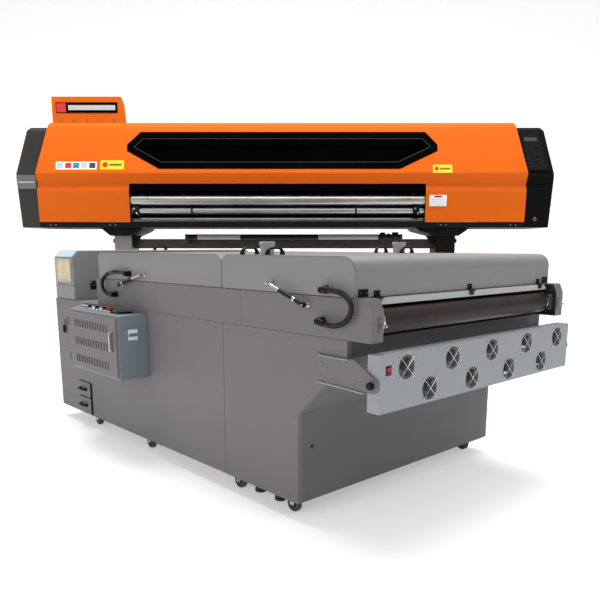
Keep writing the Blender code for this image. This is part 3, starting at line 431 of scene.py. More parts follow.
def finish_mesh(name, bm, body, paint, machine, slot=None, bevel=0.0, segments=2, replaced=()):
    """A piece, drawn in its machine's frame. A blended piece has no body of its own."""
    bmesh.ops.recalc_face_normals(bm, faces=bm.faces)
    bm.transform(machine)
    made = smooth_object(name, bm, paint)
    if bevel:
        round_edges(made, bevel, segments, "ANGLE").angle_limit = SHARP_ANGLE
    if body:
        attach(made, body)
    if replaced:
        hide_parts(*replaced)
    return made


def on_tunnel(name, bm, paint, body="tunnel", *slot, **looks):
    return finish_mesh(name, bm, body, paint, TUNNEL, *slot, **looks)


def on_printer(name, bm, paint, body="printer", *slot, **looks):
    return finish_mesh(name, bm, body, paint, PRINTER, *slot, **looks)


def stoutness(face):
    """A face's area over its outline's length: small for the rim of a sheet."""
    return face.calc_area() / face.calc_perimeter()


def refined(node_name, paint, wide, narrow, segments=3, stout=0.012, hollows=False, pierced=False):
    """A CAD node with its edges folded round: wide ones between broad faces, narrow ones along a sheet's rim.

    A level face with something standing on it stays in triangles if pierced, as one face can't hold a hole.
    """
    bm = bmesh.new()
    bm.from_mesh(frame["nodes"][node_name].data)
    bmesh.ops.remove_doubles(bm, verts=bm.verts, dist=0.00002)
    bm.normal_update()
    merged = [edge for edge in bm.edges
              if not (pierced and all(face.normal.z > 0.999 for face in edge.link_faces))]
    corners = [vert for vert in bm.verts
               if not (pierced and any(face.normal.z > 0.999 for face in vert.link_faces))]
    bmesh.ops.dissolve_limit(bm, angle_limit=math.radians(0.6), verts=corners, edges=merged)
    weight = bm.edges.layers.float.new("bevel_weight_edge")
    for edge in bm.edges:
        if len(edge.link_faces) != 2 or edge.calc_face_angle() < math.radians(12 if hollows else 20):
            continue
        broad = all(stoutness(face) > stout for face in edge.link_faces)
        edge[weight] = 1.0 if broad and (edge.is_convex or hollows) else narrow / wide
    made = smooth_object(node_name + "_finish", bm, paint)
    round_edges(made, wide, segments, "WEIGHT").use_clamp_overlap = True
    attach(made, BODY_OF[node_name])
    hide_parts(node_name)
    return made


def paint_node(node_name, paint):
    mesh = frame["nodes"][node_name].data
    mesh.materials.clear()
    mesh.materials.append(paint)


# ---------------------------------------------------------------- camera and stage

def camera():
    """The view from the middle of the front, a little above the hoods, with the picture's frame raised."""
    data = bpy.data.cameras.new("camera")
    data.sensor_width = 36.0
    data.lens = 38.57
    data.shift_y = 0.1139
    made = bpy.data.objects.new("camera", data)
    made.location = (0.1325, -4.5369, 1.1745 + LIFT)
    made.rotation_euler = (math.radians(90 - 10.846), 0, 0)
    bpy.context.scene.collection.objects.link(made)
    bpy.context.scene.camera = made


def area_light(name, place, target, size, power):
    data = bpy.data.lights.new(name, "AREA")
    data.shape = "RECTANGLE"
    data.size, data.size_y = size
    data.energy = power
    made = bpy.data.objects.new(name, data)
    made.location = place
    made.rotation_euler = (Vector(target) - Vector(place)).to_track_quat("-Z", "Y").to_euler()
    bpy.context.scene.collection.objects.link(made)


def stage():
    """A pale floor that curves up into a backdrop, with soft lights."""
    profile = [(-14.0, 0.0), (7.0, 0.0)] + arc((7.0, 3.0), 3.0, -90, 0, 16)[1:] + [(10.0, 12.0)]
    bm = bmesh.new()
    rows = [[bm.verts.new((x, y, z)) for x in (-22, 22)] for y, z in profile]
    for before, after in zip(rows, rows[1:]):
        bm.faces.new((before[0], before[1], after[1], after[0]))
    mesh = bpy.data.meshes.new("floor")
    bm.to_mesh(mesh)
    bm.free()
    mesh.shade_smooth()
    paper, tree, shader = start_material("paper", 0.9)
    place = node(tree, "TexCoord").outputs["Object"]
    faint = node(tree, "TexNoise", Vector=place, Scale=1.3, Detail=3.0).outputs["Fac"]
    tree.links.new(blended(tree, faint, (0.88, 0.88, 0.88, 1), (0.92, 0.92, 0.92, 1)),
                   shader.inputs["Base Color"])
    shader.inputs["Emission Color"].default_value = (1, 1, 1, 1)
    shader.inputs["Emission Strength"].default_value = 0.36
    mesh.materials.append(paper)
    floor = bpy.data.objects.new("floor", mesh)
    bpy.context.scene.collection.objects.link(floor)
    world = bpy.data.worlds.new("studio")
    bpy.context.scene.world = world
    world.use_nodes = True
    world.node_tree.nodes["Background"].inputs["Color"].default_value = (0.96, 0.98, 1.0, 1)
    world.node_tree.nodes["Background"].inputs["Strength"].default_value = 0.42
    area_light("top_light", (0.0, 0.5, 6.5), (0, 0.3, 0.5), (6.5, 3.2), 540)
    area_light("right_light", (5.0, -5.0, 5.6), (0.5, -0.2, 0.8), (2.6, 2.6), 90)
    area_light("left_light", (-5.0, -5.5, 2.6), (-0.5, 0, 1.0), (3.0, 3.0), 100)
    bpy.context.scene.view_settings.view_transform = "Standard"


# ---------------------------------------------------------------- tunnel

def screws(bm, places, axis, start, end, radius=0.0045):
    """Button-head screws with a hexagon socket hinted by a dimple."""
    for centre in places:
        middle = (start + end) / 2
        profile = [(start, 0), (start, radius), (middle, radius), (end, radius * 0.62), (end, radius * 0.34),
                   (middle, radius * 0.3), (middle, 0)]
        add_turned(bm, profile, axis, centre, 12)


def cabinet():
    for name in ("left_front_panel", "left_rear_panel", "right_side_panel", "rear_panel"):
        refined(name, GREY, 0.0028, 0.0009)
    # The front panel takes the darker grey: painted shade under the nose.
    refined("front_panel", SHADED_FRONT_GREY, 0.0028, 0.0009)
    paint_node("floor_pan", GREY)
    for name in ("left_conveyor_rail", "right_conveyor_rail"):
        refined(name, GREY, 0.0025, 0.0006, 2)
    refined("outfeed_hinge_bar", PALE_BAR, 0.002, 0.0008)
    paint_node("conveyor_bed", BRUSHED)
    paint_node("heater_bank", BRUSHED)

    bm = bmesh.new()
    bolts = [(y, z) for z in (0.07, 0.775) for y in (0.05, 0.3, 0.5, 0.6, 0.95, 1.35, 1.75, 2.2, 2.5)]
    bolts += [(y, 0.43) for y in (0.03, 2.52)]
    screws(bm, bolts, "X", NEAR_X + 0.0002, NEAR_X - 0.0024)
    screws(bm, bolts, "X", FAR_X - 0.0002, FAR_X + 0.0024)
    rail_bolts = [(y, z) for z in (0.825, 0.955)
                  for y in (-0.36, -0.05, 0.36, 0.43, 0.8, 1.13, 1.21, 1.6, 1.85)]
    screws(bm, rail_bolts, "X", NEAR_X + 0.0002, NEAR_X - 0.002, 0.0035)
    screws(bm, rail_bolts, "X", FAR_X - 0.0002, FAR_X + 0.002, 0.0035)
    on_tunnel("cabinet_screws", bm, GREY)

    bm = bmesh.new()
    ends = [(x, 0.06) for x in (-0.7, -0.35, 0, 0.35, 0.7)] + [(x, 0.42) for x in (-0.7, 0.7)]
    screws(bm, ends, "Y", 0.0002, -0.0022)
    screws(bm, [(x, z) for x in (-0.7, 0, 0.7) for z in (0.08, 0.4, 0.76)], "Y", CABINET_END_Y - 0.0002,
           CABINET_END_Y + 0.0022)
    on_tunnel("end_screws", bm, GREY)

    on_tunnel("cabinet_plug", drawn(add_rod, (-0.684, 0.291), 0.009, "Y", 0.0005, -0.0016, 20), BLACK,
              bevel=0.0006)

    bm = bmesh.new()
    for x in (NEAR_X - 0.0009, FAR_X - 0.0003):
        add_box(bm, (x, HOOD_FRONT_Y + 0.004, SEAM_Z - 0.0022),
                (x + 0.0012, HOOD_REAR_Y - 0.004, SEAM_Z + 0.0014))
    on_tunnel("hood_seal", bm, SEAL)


def cabinet_back():
    """Louvred vents, a cable gland and a rating plate's blank on the infeed end."""
    y = CABINET_END_Y
    bm = bmesh.new()
    for column in (-0.42, 0.42):
        for row in range(7):
            z = 0.22 + row * 0.034
            louvre = [(y - 0.0005, z), (y + 0.0075, z + 0.004), (y + 0.0075, z + 0.006),
                      (y - 0.0005, z + 0.02)]
            add_prism(bm, louvre, "X", column - 0.11, column + 0.11)
    on_tunnel("rear_louvres", bm, GREY, bevel=0.0008)
    shape = [(-0.001, 0), (-0.001, 0.022), (0.008, 0.022), (0.008, 0.017), (0.024, 0.016), (0.028, 0.012),
             (0.028, 0.007), (0.01, 0.007), (0.01, 0)]
    on_tunnel("rear_gland", drawn(add_turned, shape, "Y", (0.62, 0.14), 24, base=y), BLACK)
    on_tunnel("rear_plate", drawn(add_box, (-0.06, y - 0.0002, 0.6), (0.06, y + 0.0008, 0.68)), BRIGHT,
              bevel=0.0004)


def side_doors():
    """Two small access drawers with pulls and painted shadow round their fronts, and a rotary latch, on the near
    side.
    """
    x = NEAR_X
    fronts, gaps, pulls = bmesh.new(), bmesh.new(), bmesh.new()
    for low, high in ((0.05, 0.156), (0.164, 0.262)):
        add_box(fronts, (x - 0.011, 2.06, low), (x - 0.002, 2.232, high))
        add_box(gaps, (x - 0.005, 2.05, low - 0.003), (x + 0.0005, 2.228, high + 0.002))
        middle = (low + high) / 2
        skin = x - 0.0105
        line = smooth_line([(skin, 2.118, middle), (skin - 0.02, 2.12, middle + 0.003),
                            (skin - 0.027, 2.134, middle + 0.004), (skin - 0.027, 2.176, middle + 0.004),
                            (skin - 0.02, 2.19, middle + 0.003), (skin, 2.192, middle)], 5)
        add_tube(pulls, line, 0.0075, 12)
        for y in (2.118, 2.192):
            add_rod(pulls, (y, middle), 0.0125, "X", skin + 0.0003, skin - 0.006, 16)
    on_tunnel("drawer_fronts", fronts, GREY, bevel=0.0012)
    # Near-black boxes behind the drawer fronts: painted shadow in the seams round them.
    on_tunnel("drawer_gap_shadows", gaps, INNER_SHADE)
    on_tunnel("drawer_pulls", pulls, BLACK)
    on_tunnel("side_latch_plate", drawn(add_box, (x - 0.006, 2.398, 0.566), (x + 0.0005, 2.428, 0.668)),
              DARK_GREY, bevel=0.0025, segments=3)
    bm = bmesh.new()
    add_box(bm, (x - 0.02, 2.406, 0.578), (x - 0.005, 2.42, 0.626))
    add_rod(bm, (2.413, 0.606), 0.015, "X", x - 0.004, x - 0.017, 24)
    on_tunnel("side_latch", bm, BLACK, bevel=0.0025, segments=3)


def hood_shell(name, front, rear, closed_front):
    """A folded hood: its side profile has round ends, and its long edges are folded to a radius."""
    fold, rear_radius = 0.0045, 0.05
    front_radius = 0.06 if closed_front else rear_radius
    bottom = SEAM_Z + 0.0003
    outline = [(front, bottom), (rear, bottom)]
    outline += arc((rear - rear_radius, HOOD_Z - rear_radius), rear_radius, 0, 90, 10)
    outline += arc((front + front_radius, HOOD_Z - front_radius), front_radius, 90, 180, 10)
    bm = bmesh.new()
    add_prism(bm, outline, "X", NEAR_X, FAR_X)
    bm.normal_update()
    folded = [edge for edge in bm.edges if abs(edge.verts[0].co.x - edge.verts[1].co.x) < 1e-6
              and edge.verts[0].co.z + edge.verts[1].co.z > 2 * bottom + 0.001]
    bmesh.ops.bevel(bm, geom=folded, offset=fold, segments=4, profile=0.5, affect="EDGES")
    open_end = rear if closed_front else front
    gone = [face for face in bm.faces if face.calc_center_median().z < bottom + 0.0005]
    gone += [face for face in bm.faces
             if abs(face.calc_center_median().y - open_end) < 0.0005 and abs(face.normal.y) > 0.9]
    bmesh.ops.delete(bm, geom=list(set(gone)), context="FACES")
    made = on_tunnel(name + "_finish", bm, LIT_HOOD_GREY, name, "light_grey_paint", replaced=(name,))
    skin = made.modifiers.new("sheet", "SOLIDIFY")
    skin.thickness = 0.003
    skin.offset = -1
    flat = made.modifiers.new("flat_sheets", "WEIGHTED_NORMAL")
    flat.keep_sharp = True


def strut_finish(hood, body, profile, foot, way):
    """A turned part of a gas strut: its profile runs from the foot's eye along the strut."""
    bm = bmesh.new()
    verts = add_turned(bm, profile, "Y", (0, 0), 24)
    turn = Matrix.Rotation(math.atan2(way.z, way.y), 4, "X")
    bmesh.ops.transform(bm, matrix=Matrix.Translation(foot) @ turn, verts=verts)
    on_tunnel(f"{hood}_{body}", bm, BRIGHT, f"{hood}_{body.split('_finish')[0]}", "steel")


def strut_looks(hood, tube):
    """A gas strut's stud, pin, lower eye and rod. The tube's length is given."""
    eye_radius = 0.0095
    pivot = TUNNEL.inverted() @ Vector(JOINTS[hood + "_strut_swing"]["pos_m"])
    rod_low, rod_high = extent(hood + "_strut_rod", TUNNEL)
    head_y = rod_high.y - eye_radius if hood == "outfeed" else rod_low.y + eye_radius
    head_z = rod_high.z - eye_radius
    shape = [(NEAR_X + 0.001, 0), (NEAR_X + 0.001, 0.013), (NEAR_X - 0.004, 0.012), (NEAR_X - 0.006, 0.0045),
             (pivot.x - 0.009, 0.0045), (pivot.x - 0.01, 0)]
    on_tunnel(hood + "_stud", drawn(add_turned, shape, "X", (head_y, head_z), 20), BRIGHT, hood + "_hood")
    shape = [(NEAR_X + 0.001, 0), (NEAR_X + 0.001, 0.012), (NEAR_X - 0.004, 0.011), (NEAR_X - 0.006, 0.0045),
             (pivot.x - 0.01, 0.0045), (pivot.x - 0.011, 0)]
    on_tunnel(hood + "_strut_pin", drawn(add_turned, shape, "X", (pivot.y, pivot.z), 20), BRIGHT, "tunnel",
              bevel=0.0007)
    foot = Vector((pivot.x, pivot.y, pivot.z))
    way = (Vector((0, head_y, head_z)) - Vector((0, pivot.y, pivot.z))).normalized()
    length = math.dist((head_y, head_z), (pivot.y, pivot.z))
    sleeve = [(0.009, 0), (0.009, 0.0052), (0.05, 0.006), (0.052, 0.0108), (0.066, 0.0108), (0.068, 0)]
    strut_finish(hood, "strut_cylinder_finish_end", sleeve, foot, way)
    rod_cover = [(tube - 0.004, 0.004), (tube + 0.001, 0.0075), (length - 0.022, 0.0075),
                 (length - 0.01, 0.005), (length - 0.009, 0.004)]
    strut_finish(hood, "strut_rod_finish", rod_cover + rod_cover[:1], foot, way)
    paint_node(hood + "_strut_rod", BRIGHT)
    paint_node(hood + "_strut_cylinder", BLACK)


def hoods():
    hood_shell("outfeed_hood", HOOD_FRONT_Y, HOOD_SPLIT_Y - 0.001, True)
    hood_shell("infeed_hood", HOOD_SPLIT_Y + 0.004, HOOD_REAR_Y, False)
    for hood, tube in (("outfeed", 0.16), ("infeed", 0.175)):
        strut_looks(hood, tube)
    hood_handles()
    hood_hinges()


def bridge_handle(bm, x, y, z):
    """A moulded bridge handle: stout feet that narrow into a flat grip."""
    half, rise = 0.0575, 0.037
    low, high = z - 0.001, z + rise - 0.0045
    half_line = [(half - 0.01, low), (half - 0.012, z + rise * 0.45), (half - 0.024, z + rise * 0.8),
                 (half * 0.4, high)]
    points = [(x - reach, y, up) for reach, up in half_line] + [(x, y, high + 0.0003)]
    points += [(x + reach, y, up) for reach, up in reversed(half_line)]
    line = smooth_line(points, 5)
    radii = [0.0062 + 0.0075 * min(1.0, max(0.0, (high - point.z) / (rise * 0.8))) for point in line]
    add_tube(bm, line, 0, 12, radii=radii)
    for foot in (x - half + 0.01, x + half - 0.01):
        add_turned(bm, [(-0.0005, 0), (-0.0005, 0.0135), (0.004, 0.0135), (0.01, 0.01), (0.01, 0)], "Z",
                   (foot, y), 20, base=z)


def hood_handles():
    for hood, offset in (("outfeed", -0.1), ("infeed", 0.1)):
        bm = bmesh.new()
        for x in HANDLE_XS:
            bridge_handle(bm, x, HOOD_SPLIT_Y + offset, HOOD_Z)
        on_tunnel(hood + "_handles", bm, BLACK, hood + "_hood")
    bm = bmesh.new()
    bridge_handle(bm, 0, (LID_LOW.y + LID_HIGH.y) / 2, LID_HIGH.z)
    on_tunnel("lid_handle", bm, BLACK, "infeed_lid")
    bm = bmesh.new()
    y = HOOD_SPLIT_Y - 0.04
    for x, half in zip(HANDLE_XS, (0.04, 0.048)):
        base, top = HOOD_Z - 0.0005, HOOD_Z + 0.064
        outline = [(x - half * 0.8, base), (x + half * 0.8, base), (x + half * 0.84, base + 0.04),
                   (x + half, base + 0.048), (x + half, top), (x - half, top), (x - half, base + 0.048),
                   (x - half * 0.84, base + 0.04)]
        add_prism(bm, outline, "Y", y - 0.016, y + 0.016)
    on_tunnel("hood_catches", bm, PALE_BAR, "outfeed_hood", bevel=0.003, segments=3)


def rear_hinges():
    """The infeed hood's hinges."""
    leaves = bmesh.new()
    y = HOOD_REAR_Y
    for x in (-0.6, 0, 0.6):
        add_rod(leaves, (y + 0.0085, 0.972), 0.0055, "X", x - 0.035, x + 0.035, 16)
        add_box(leaves, (x - 0.035, y - 0.0004, 0.977), (x + 0.035, y + 0.0024, 1.01))
    on_tunnel("rear_hood_hinges", leaves, BLACK, "infeed_hood", bevel=0.0006)


def hood_stops():
    """Leaves and two stop plates on the outfeed hood's front."""
    y = HOOD_FRONT_Y
    leaves, pins = bmesh.new(), bmesh.new()
    for x in HINGE_XS:
        add_box(leaves, (x - 0.018, y - 0.0022, 0.9765), (x + 0.018, y + 0.0004, 0.999))
        screws(pins, [(x - 0.01, 0.989), (x + 0.01, 0.989)], "Y", y - 0.002, y - 0.004, 0.0026)
    for x in (-0.722, 0.728):
        add_box(leaves, (x - 0.028, y - 0.003, 0.977), (x + 0.028, y + 0.0004, 1.007))
        screws(pins, [(x - 0.017, 0.992), (x + 0.017, 0.992)], "Y", y - 0.0028, y - 0.005, 0.0034)
    on_tunnel("hood_hinge_leaves", leaves, DARK_PAINT, "outfeed_hood", "black_plastic", bevel=0.0006)
    on_tunnel("hood_hinge_screws", pins, DARK_STEEL, "outfeed_hood")


def hood_hinges():
    """Butt hinges of the outfeed hood on its light bar, its stops, and the infeed hood's hinges."""
    leaves, pins, lower = bmesh.new(), bmesh.new(), -0.02
    y = HOOD_FRONT_Y
    for x in HINGE_XS:
        low_x = x + lower
        add_box(leaves, (low_x - 0.018, y - 0.0262, 0.95), (low_x + 0.018, y - 0.0235, 0.9695))
        add_box(leaves, (x - 0.024, y - 0.0262, 0.9685), (x + 0.018, y - 0.01, 0.9715))
        add_rod(leaves, (y - 0.008, 0.972), 0.0056, "X", x - 0.02, x + 0.02, 16)
        screws(pins, [(low_x - 0.01, 0.959), (low_x + 0.01, 0.959)], "Y", y - 0.0258, y - 0.0278, 0.0026)
    on_tunnel("hinge_leaves", leaves, BLACK, bevel=0.0006)
    on_tunnel("hinge_screws", pins, DARK_STEEL)
    hood_stops()
    rear_hinges()


def hose_gland(name, end, inner, body):
    """A block on the sheet and the nut that holds a hose's end."""
    bm = bmesh.new()
    block = [(NEAR_X + 0.0004, 0), (NEAR_X + 0.0004, 0.0175), (NEAR_X - 0.008, 0.0175),
             (NEAR_X - 0.012, 0.0145), (end.x - 0.008, 0.0145), (end.x - 0.0145, 0.01), (end.x - 0.0145, 0)]
    add_turned(bm, block, "X", (end.y, end.z), 24)
    way = (inner - end).normalized()
    add_tube(bm, [end + way * step for step in (0.004, 0.02, 0.021, 0.034, 0.038)], 0, 16,
             radii=[0.015, 0.015, 0.0132, 0.0132, 0.0115])
    on_tunnel(name, bm, BLACK, body, bevel=0.0008)


def ribbed_hose(hose, hood, route):
    """Corrugated conduit that bends between the hood and the rail, with a gland at each end."""
    line = smooth_line(route, 26)
    lengths = [0.0]
    for before, after in zip(line, line[1:]):
        lengths.append(lengths[-1] + (after - before).length)
    pitch = 0.0075
    radii = [0.0104 + 0.0009 * math.cos(math.tau * length / pitch) for length in lengths]
    bm = bmesh.new()
    add_tube(bm, line, 0, 14, radii=radii)
    made = on_tunnel(hose + "_finish", bm, RUBBER, None, "black_plastic", replaced=(hose,))
    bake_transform(made)
    hose_gland(hose + "_upper_gland", line[0], line[14], hood)
    hose_gland(hose + "_lower_gland", line[-1], line[-15], "tunnel")


def hoses():
    x = extent("outfeed_hose", TUNNEL)[0].x + 0.015
    outfeed = [(-0.17, 1.001), (-0.225, 1.001), (-0.28, 0.992), (-0.318, 0.967), (-0.332, 0.938),
               (-0.32, 0.904), (-0.285, 0.876), (-0.225, 0.862), (-0.15, 0.874)]
    infeed = [(1.445, 1.012), (1.53, 1.021), (1.63, 1.014), (1.712, 0.99), (1.752, 0.95),
              (1.747, 0.917), (1.712, 0.892), (1.665, 0.882), (1.62, 0.884)]
    for side, route in (("outfeed", outfeed), ("infeed", infeed)):
        ribbed_hose(side + "_hose", side + "_hood", [(x, y, z) for y, z in route])


def belt_loop(radius):
    """The belt's outside as (y, z, outward y, outward z), back along the top and forth underneath."""
    loop = []
    for start, end, side in ((OUTFEED_ROLLER_Y, INFEED_ROLLER_Y, 1), (INFEED_ROLLER_Y, OUTFEED_ROLLER_Y, -1)):
        loop += [(start + (end - start) * step / 40, ROLLER_Z + side * radius, 0, side) for step in range(41)]
        for step, point in enumerate(arc((end, ROLLER_Z), radius, side * 90, side * 90 - 180, 20)[1:-1], 1):
            angle = math.radians(side * 90 - step * 9)
            loop.append((*point, math.cos(angle), math.sin(angle)))
    return loop


def belt():
    """The belt's closed strip, with a UV map in metres for its weave."""
    thick, half = 0.003, 0.655
    outer = belt_loop(0.0525)
    bm = bmesh.new()
    uv = bm.loops.layers.uv.new("UVMap")
    columns = (-half, -half / 3, half / 3, half)
    grids = []
    for inward in (0, thick):
        grids.append([[bm.verts.new((x, y - inward * ny, up - inward * nz)) for x in columns]
                      for y, up, ny, nz in outer])
    lengths = [0.0]
    for before, after in zip(outer, outer[1:] + outer[:1]):
        lengths.append(lengths[-1] + math.hypot(after[0] - before[0], after[1] - before[1]))
    count = len(outer)
    for grid in grids:
        for row in range(count):
            after = (row + 1) % count
            for column in range(3):
                corners = ((row, column), (row, column + 1), (after, column + 1), (after, column))
                face = bm.faces.new([grid[r][c] for r, c in corners])
                heights = (lengths[row], lengths[row], lengths[row + 1], lengths[row + 1])
                for loop, corner, up in zip(face.loops, corners, heights):
                    loop[uv].uv = (columns[corner[1]], up)
    for column in (0, 3):
        for row in range(count):
            after = (row + 1) % count
            face = bm.faces.new((grids[0][row][column], grids[0][after][column], grids[1][after][column],
                                 grids[1][row][column]))
            for loop in face.loops:
                loop[uv].uv = (columns[column], lengths[row])
    on_tunnel("conveyor_belt_finish", bm, BELT, replaced=("conveyor_belt",))


def roller_rings():
    """Each roller's paint and the rings on its ends."""
    for name, y in (("outfeed_roller", OUTFEED_ROLLER_Y), ("infeed_roller", INFEED_ROLLER_Y)):
        paint_node(name, BRUSHED)
        bm = bmesh.new()
        for side in (-1, 1):
            ring = [(side * 0.6565, 0.0489), (side * 0.6565, 0.0515), (side * 0.66, 0.0522),
                    (side * 0.676, 0.0522), (side * 0.677, 0.05), (side * 0.677, 0.03),
                    (side * 0.6758, 0.029), (side * 0.6758, 0.016)]
            add_turned(bm, ring, "X", (y, ROLLER_Z), 48)
        on_tunnel(name + "_rings", bm, BRIGHT, name)


def tension_bolts():
    """The belt's tension plates and bolts, on the rails' outfeed ends."""
    plates, bolts = bmesh.new(), bmesh.new()
    face = RAIL_FRONT_Y
    for side in (-1, 1):
        x = side * 0.716
        add_box(plates, (x - 0.0125, face - 0.006, 0.846), (x + 0.0125, face + 0.0005, 0.9))
        profile = [(-0.005, 0), (-0.005, 0.0085), (-0.013, 0.0085), (-0.013, 0.0046), (-0.033, 0.0046),
                   (-0.0345, 0.0036), (-0.0345, 0)]
        add_turned(bolts, profile, "Y", (x + side * 0.003, 0.872), 16, base=face)
        add_rod(bolts, (x + side * 0.003, 0.872), 0.0088, "Y", face - 0.013, face - 0.02, 6)
    on_tunnel("tension_plates", plates, GREY, bevel=0.0012)
    on_tunnel("tension_bolts", bolts, BRIGHT, bevel=0.0005)


def conveyor():
    belt()
    roller_rings()
    tension_bolts()


def lid_window():
    """The amber pane in the lid's near side, with its frame and screws."""
    x, first, last = LID_LOW.x, LID_LOW.y, LID_HIGH.y
    low, high = 0.925, 1.085
    bm = bmesh.new()
    edges = ((first + 0.028, first + 0.044), (last - 0.044, last - 0.028))
    for y_low, y_high in edges:
        add_box(bm, (x - 0.006, y_low, low), (x + 0.0005, y_high, high))
    for z_low, z_high in ((low, low + 0.016), (high - 0.016, high)):
        add_box(bm, (x - 0.006, edges[0][1] - 0.0005, z_low), (x + 0.0005, edges[1][0] + 0.0005, z_high))
    on_tunnel("lid_window_frame", bm, BEIGE, "infeed_lid", bevel=0.0014)
    on_tunnel("lid_window", drawn(add_box, (x - 0.0022, edges[0][1] - 0.001, low + 0.015),
                                  (x + 0.0004, edges[1][0] + 0.001, high - 0.015)), AMBER, "infeed_lid",
              bevel=0.0003)
    shape = [(y, z) for y in (first + 0.036, last - 0.036) for z in (low + 0.008, high - 0.008)]
    on_tunnel("lid_window_screws", drawn(screws, shape, "X", x - 0.0058, x - 0.0078, 0.0032), BRIGHT,
              "infeed_lid")


def lid_hinges():
    """Butt hinges between the housing's base and its lid."""
    first = LID_LOW.y
    leaves, pins = bmesh.new(), bmesh.new()
    axis = TUNNEL.inverted() @ Vector(JOINTS["infeed_lid_open"]["pos_m"])
    for middle in LID_HINGE_XS:
        add_box(leaves, (middle - 0.022, first - 0.0026, LID_LOW.z + 0.003),
                (middle + 0.022, first + 0.0004, LID_LOW.z + 0.028))
        add_rod(leaves, (axis.y, axis.z), 0.0042, "X", middle - 0.023, middle + 0.023, 16)
        screws(pins, [(middle - 0.012, LID_LOW.z + 0.016), (middle + 0.012, LID_LOW.z + 0.016)], "Y",
               first - 0.0022, first - 0.0044, 0.0032)
    on_tunnel("lid_hinges", leaves, BLACK, "infeed_lid", bevel=0.0006)
    on_tunnel("lid_hinge_screws", pins, BRIGHT, "infeed_lid")
    bm = bmesh.new()
    for middle in LID_HINGE_XS:
        add_box(bm, (middle - 0.022, first - 0.0026, LID_LOW.z - 0.03),
                (middle + 0.022, first + 0.0004, LID_LOW.z - 0.006))
    on_tunnel("lid_hinge_bases", bm, BLACK, bevel=0.0006)


def infeed_housing():
    refined("infeed_base", LIT_HOOD_GREY, 0.003, 0.0009)
    refined("infeed_lid", LIT_HOOD_GREY, 0.004, 0.0009)
    x, first, last = LID_LOW.x, LID_LOW.y, LID_HIGH.y
    lid_window()
    bm = bmesh.new()
    for side in (-1, 1):
        outer = side * (abs(x) - 0.0015)
        ramp = [(outer, LID_HIGH.z - 0.0415), (outer + side * 0.0009, LID_HIGH.z - 0.0405),
                (side * (abs(x) - 0.0405) + side * 0.0009, LID_HIGH.z - 0.0005),
                (side * (abs(x) - 0.0415), LID_HIGH.z - 0.0015)]
        add_prism(bm, ramp, "Y", first + 0.01, last - 0.01)
    on_tunnel("lid_film", bm, PALE_BLUE, "infeed_lid")
    lid_hinges()


def control_box():
    refined("control_box_case", BOX_PAINT, 0.003, 0.0008)
    refined("control_box_door", GREY, 0.0025, 0.0007)
    skin = DOOR_LOW.x + 0.012
    louvres, slots = bmesh.new(), bmesh.new()
    for y, z in LOUVRES:
        near, far, low, high = y - 0.006, y + 0.006, z - 0.022, z + 0.022
        hood = [(near, low), (far, low), (far, high), (near, high)]
        for vertex in add_prism(louvres, hood, "X", skin + 0.0004, skin - 0.0055):
            if vertex.co.x < skin - 0.001 and vertex.co.y > y:
                vertex.co.x = skin - 0.0004
        add_box(slots, (skin - 0.0046, y - 0.0066, z - 0.017), (skin - 0.0012, y - 0.0058, z + 0.017))
    on_tunnel("door_louvres", louvres, GREY, "control_box_door", bevel=0.0012)
    # The strips in the louvres' openings are dark: painted shade inside the slots.
    on_tunnel("door_louvre_slot_shades", slots, DARK_GREY, "control_box_door")
    bm = bmesh.new()
    line = smooth_line([(skin - 0.002, 1.314, 0.592), (skin - 0.014, 1.314, 0.596),
                        (skin - 0.0185, 1.314, 0.612), (skin - 0.0185, 1.314, 0.645),
                        (skin - 0.0185, 1.314, 0.678), (skin - 0.014, 1.314, 0.694),
                        (skin - 0.002, 1.314, 0.698)], 5)
    add_tube(bm, line, 0.0045, 12)
    on_tunnel("door_handle", bm, ZINC, "control_box_door")
    bm = bmesh.new()
    for z in (0.5, 0.72):
        add_rod(bm, (DOOR_LOW.x + 0.01, DOOR_HIGH.y + 0.0052), 0.0036, "Z", z - 0.024, z + 0.024, 16)
    on_tunnel("door_hinge_knuckles", bm, GREY, bevel=0.0006)
    desk()


def desk_rockers():
    """A row of rocker switches."""
    top = BOX_HIGH.z
    bm, keys = bmesh.new(), bmesh.new()
    for y in (1.865, 1.895, 1.925, 1.955, 1.985, 2.015):
        lean = -0.835 + (y - 1.865) * 0.14
        add_box(bm, (lean - 0.01, y - 0.01, top - 0.0005), (lean + 0.01, y + 0.01, top + 0.004))
        add_box(keys, (lean - 0.007, y - 0.007, top + 0.003), (lean + 0.007, y + 0.007, top + 0.0075))
    on_tunnel("desk_rockers", bm, BLACK, bevel=0.0012)
    on_tunnel("desk_rocker_keys", keys, WHITE, bevel=0.0012)


def emergency_button():
    """The mushroom button and its collar."""
    top = BOX_HIGH.z
    low, high = extent("emergency_stop", TUNNEL)
    at = ((low.x + high.x) / 2, (low.y + high.y) / 2)
    mushroom = [(low.z, 0), (low.z, 0.0098), (high.z - 0.0145, 0.0098), (high.z - 0.0142, 0.0185),
                (high.z - 0.0115, 0.0198), (high.z - 0.007, 0.02), (high.z - 0.003, 0.0175),
                (high.z - 0.0008, 0.011), (high.z, 0)]
    on_tunnel("emergency_stop_finish", drawn(add_turned, mushroom, "Z", at, 40), RED, "emergency_stop",
              replaced=("emergency_stop",))
    bm = bmesh.new()
    collar = [(0.0002, 0.0108), (0.0002, 0.026), (0.003, 0.026), (0.0042, 0.0245), (0.0042, 0.0108)]
    add_turned(bm, collar + collar[:1], "Z", at, 40, base=top)
    on_tunnel("emergency_stop_collar", bm, YELLOW)


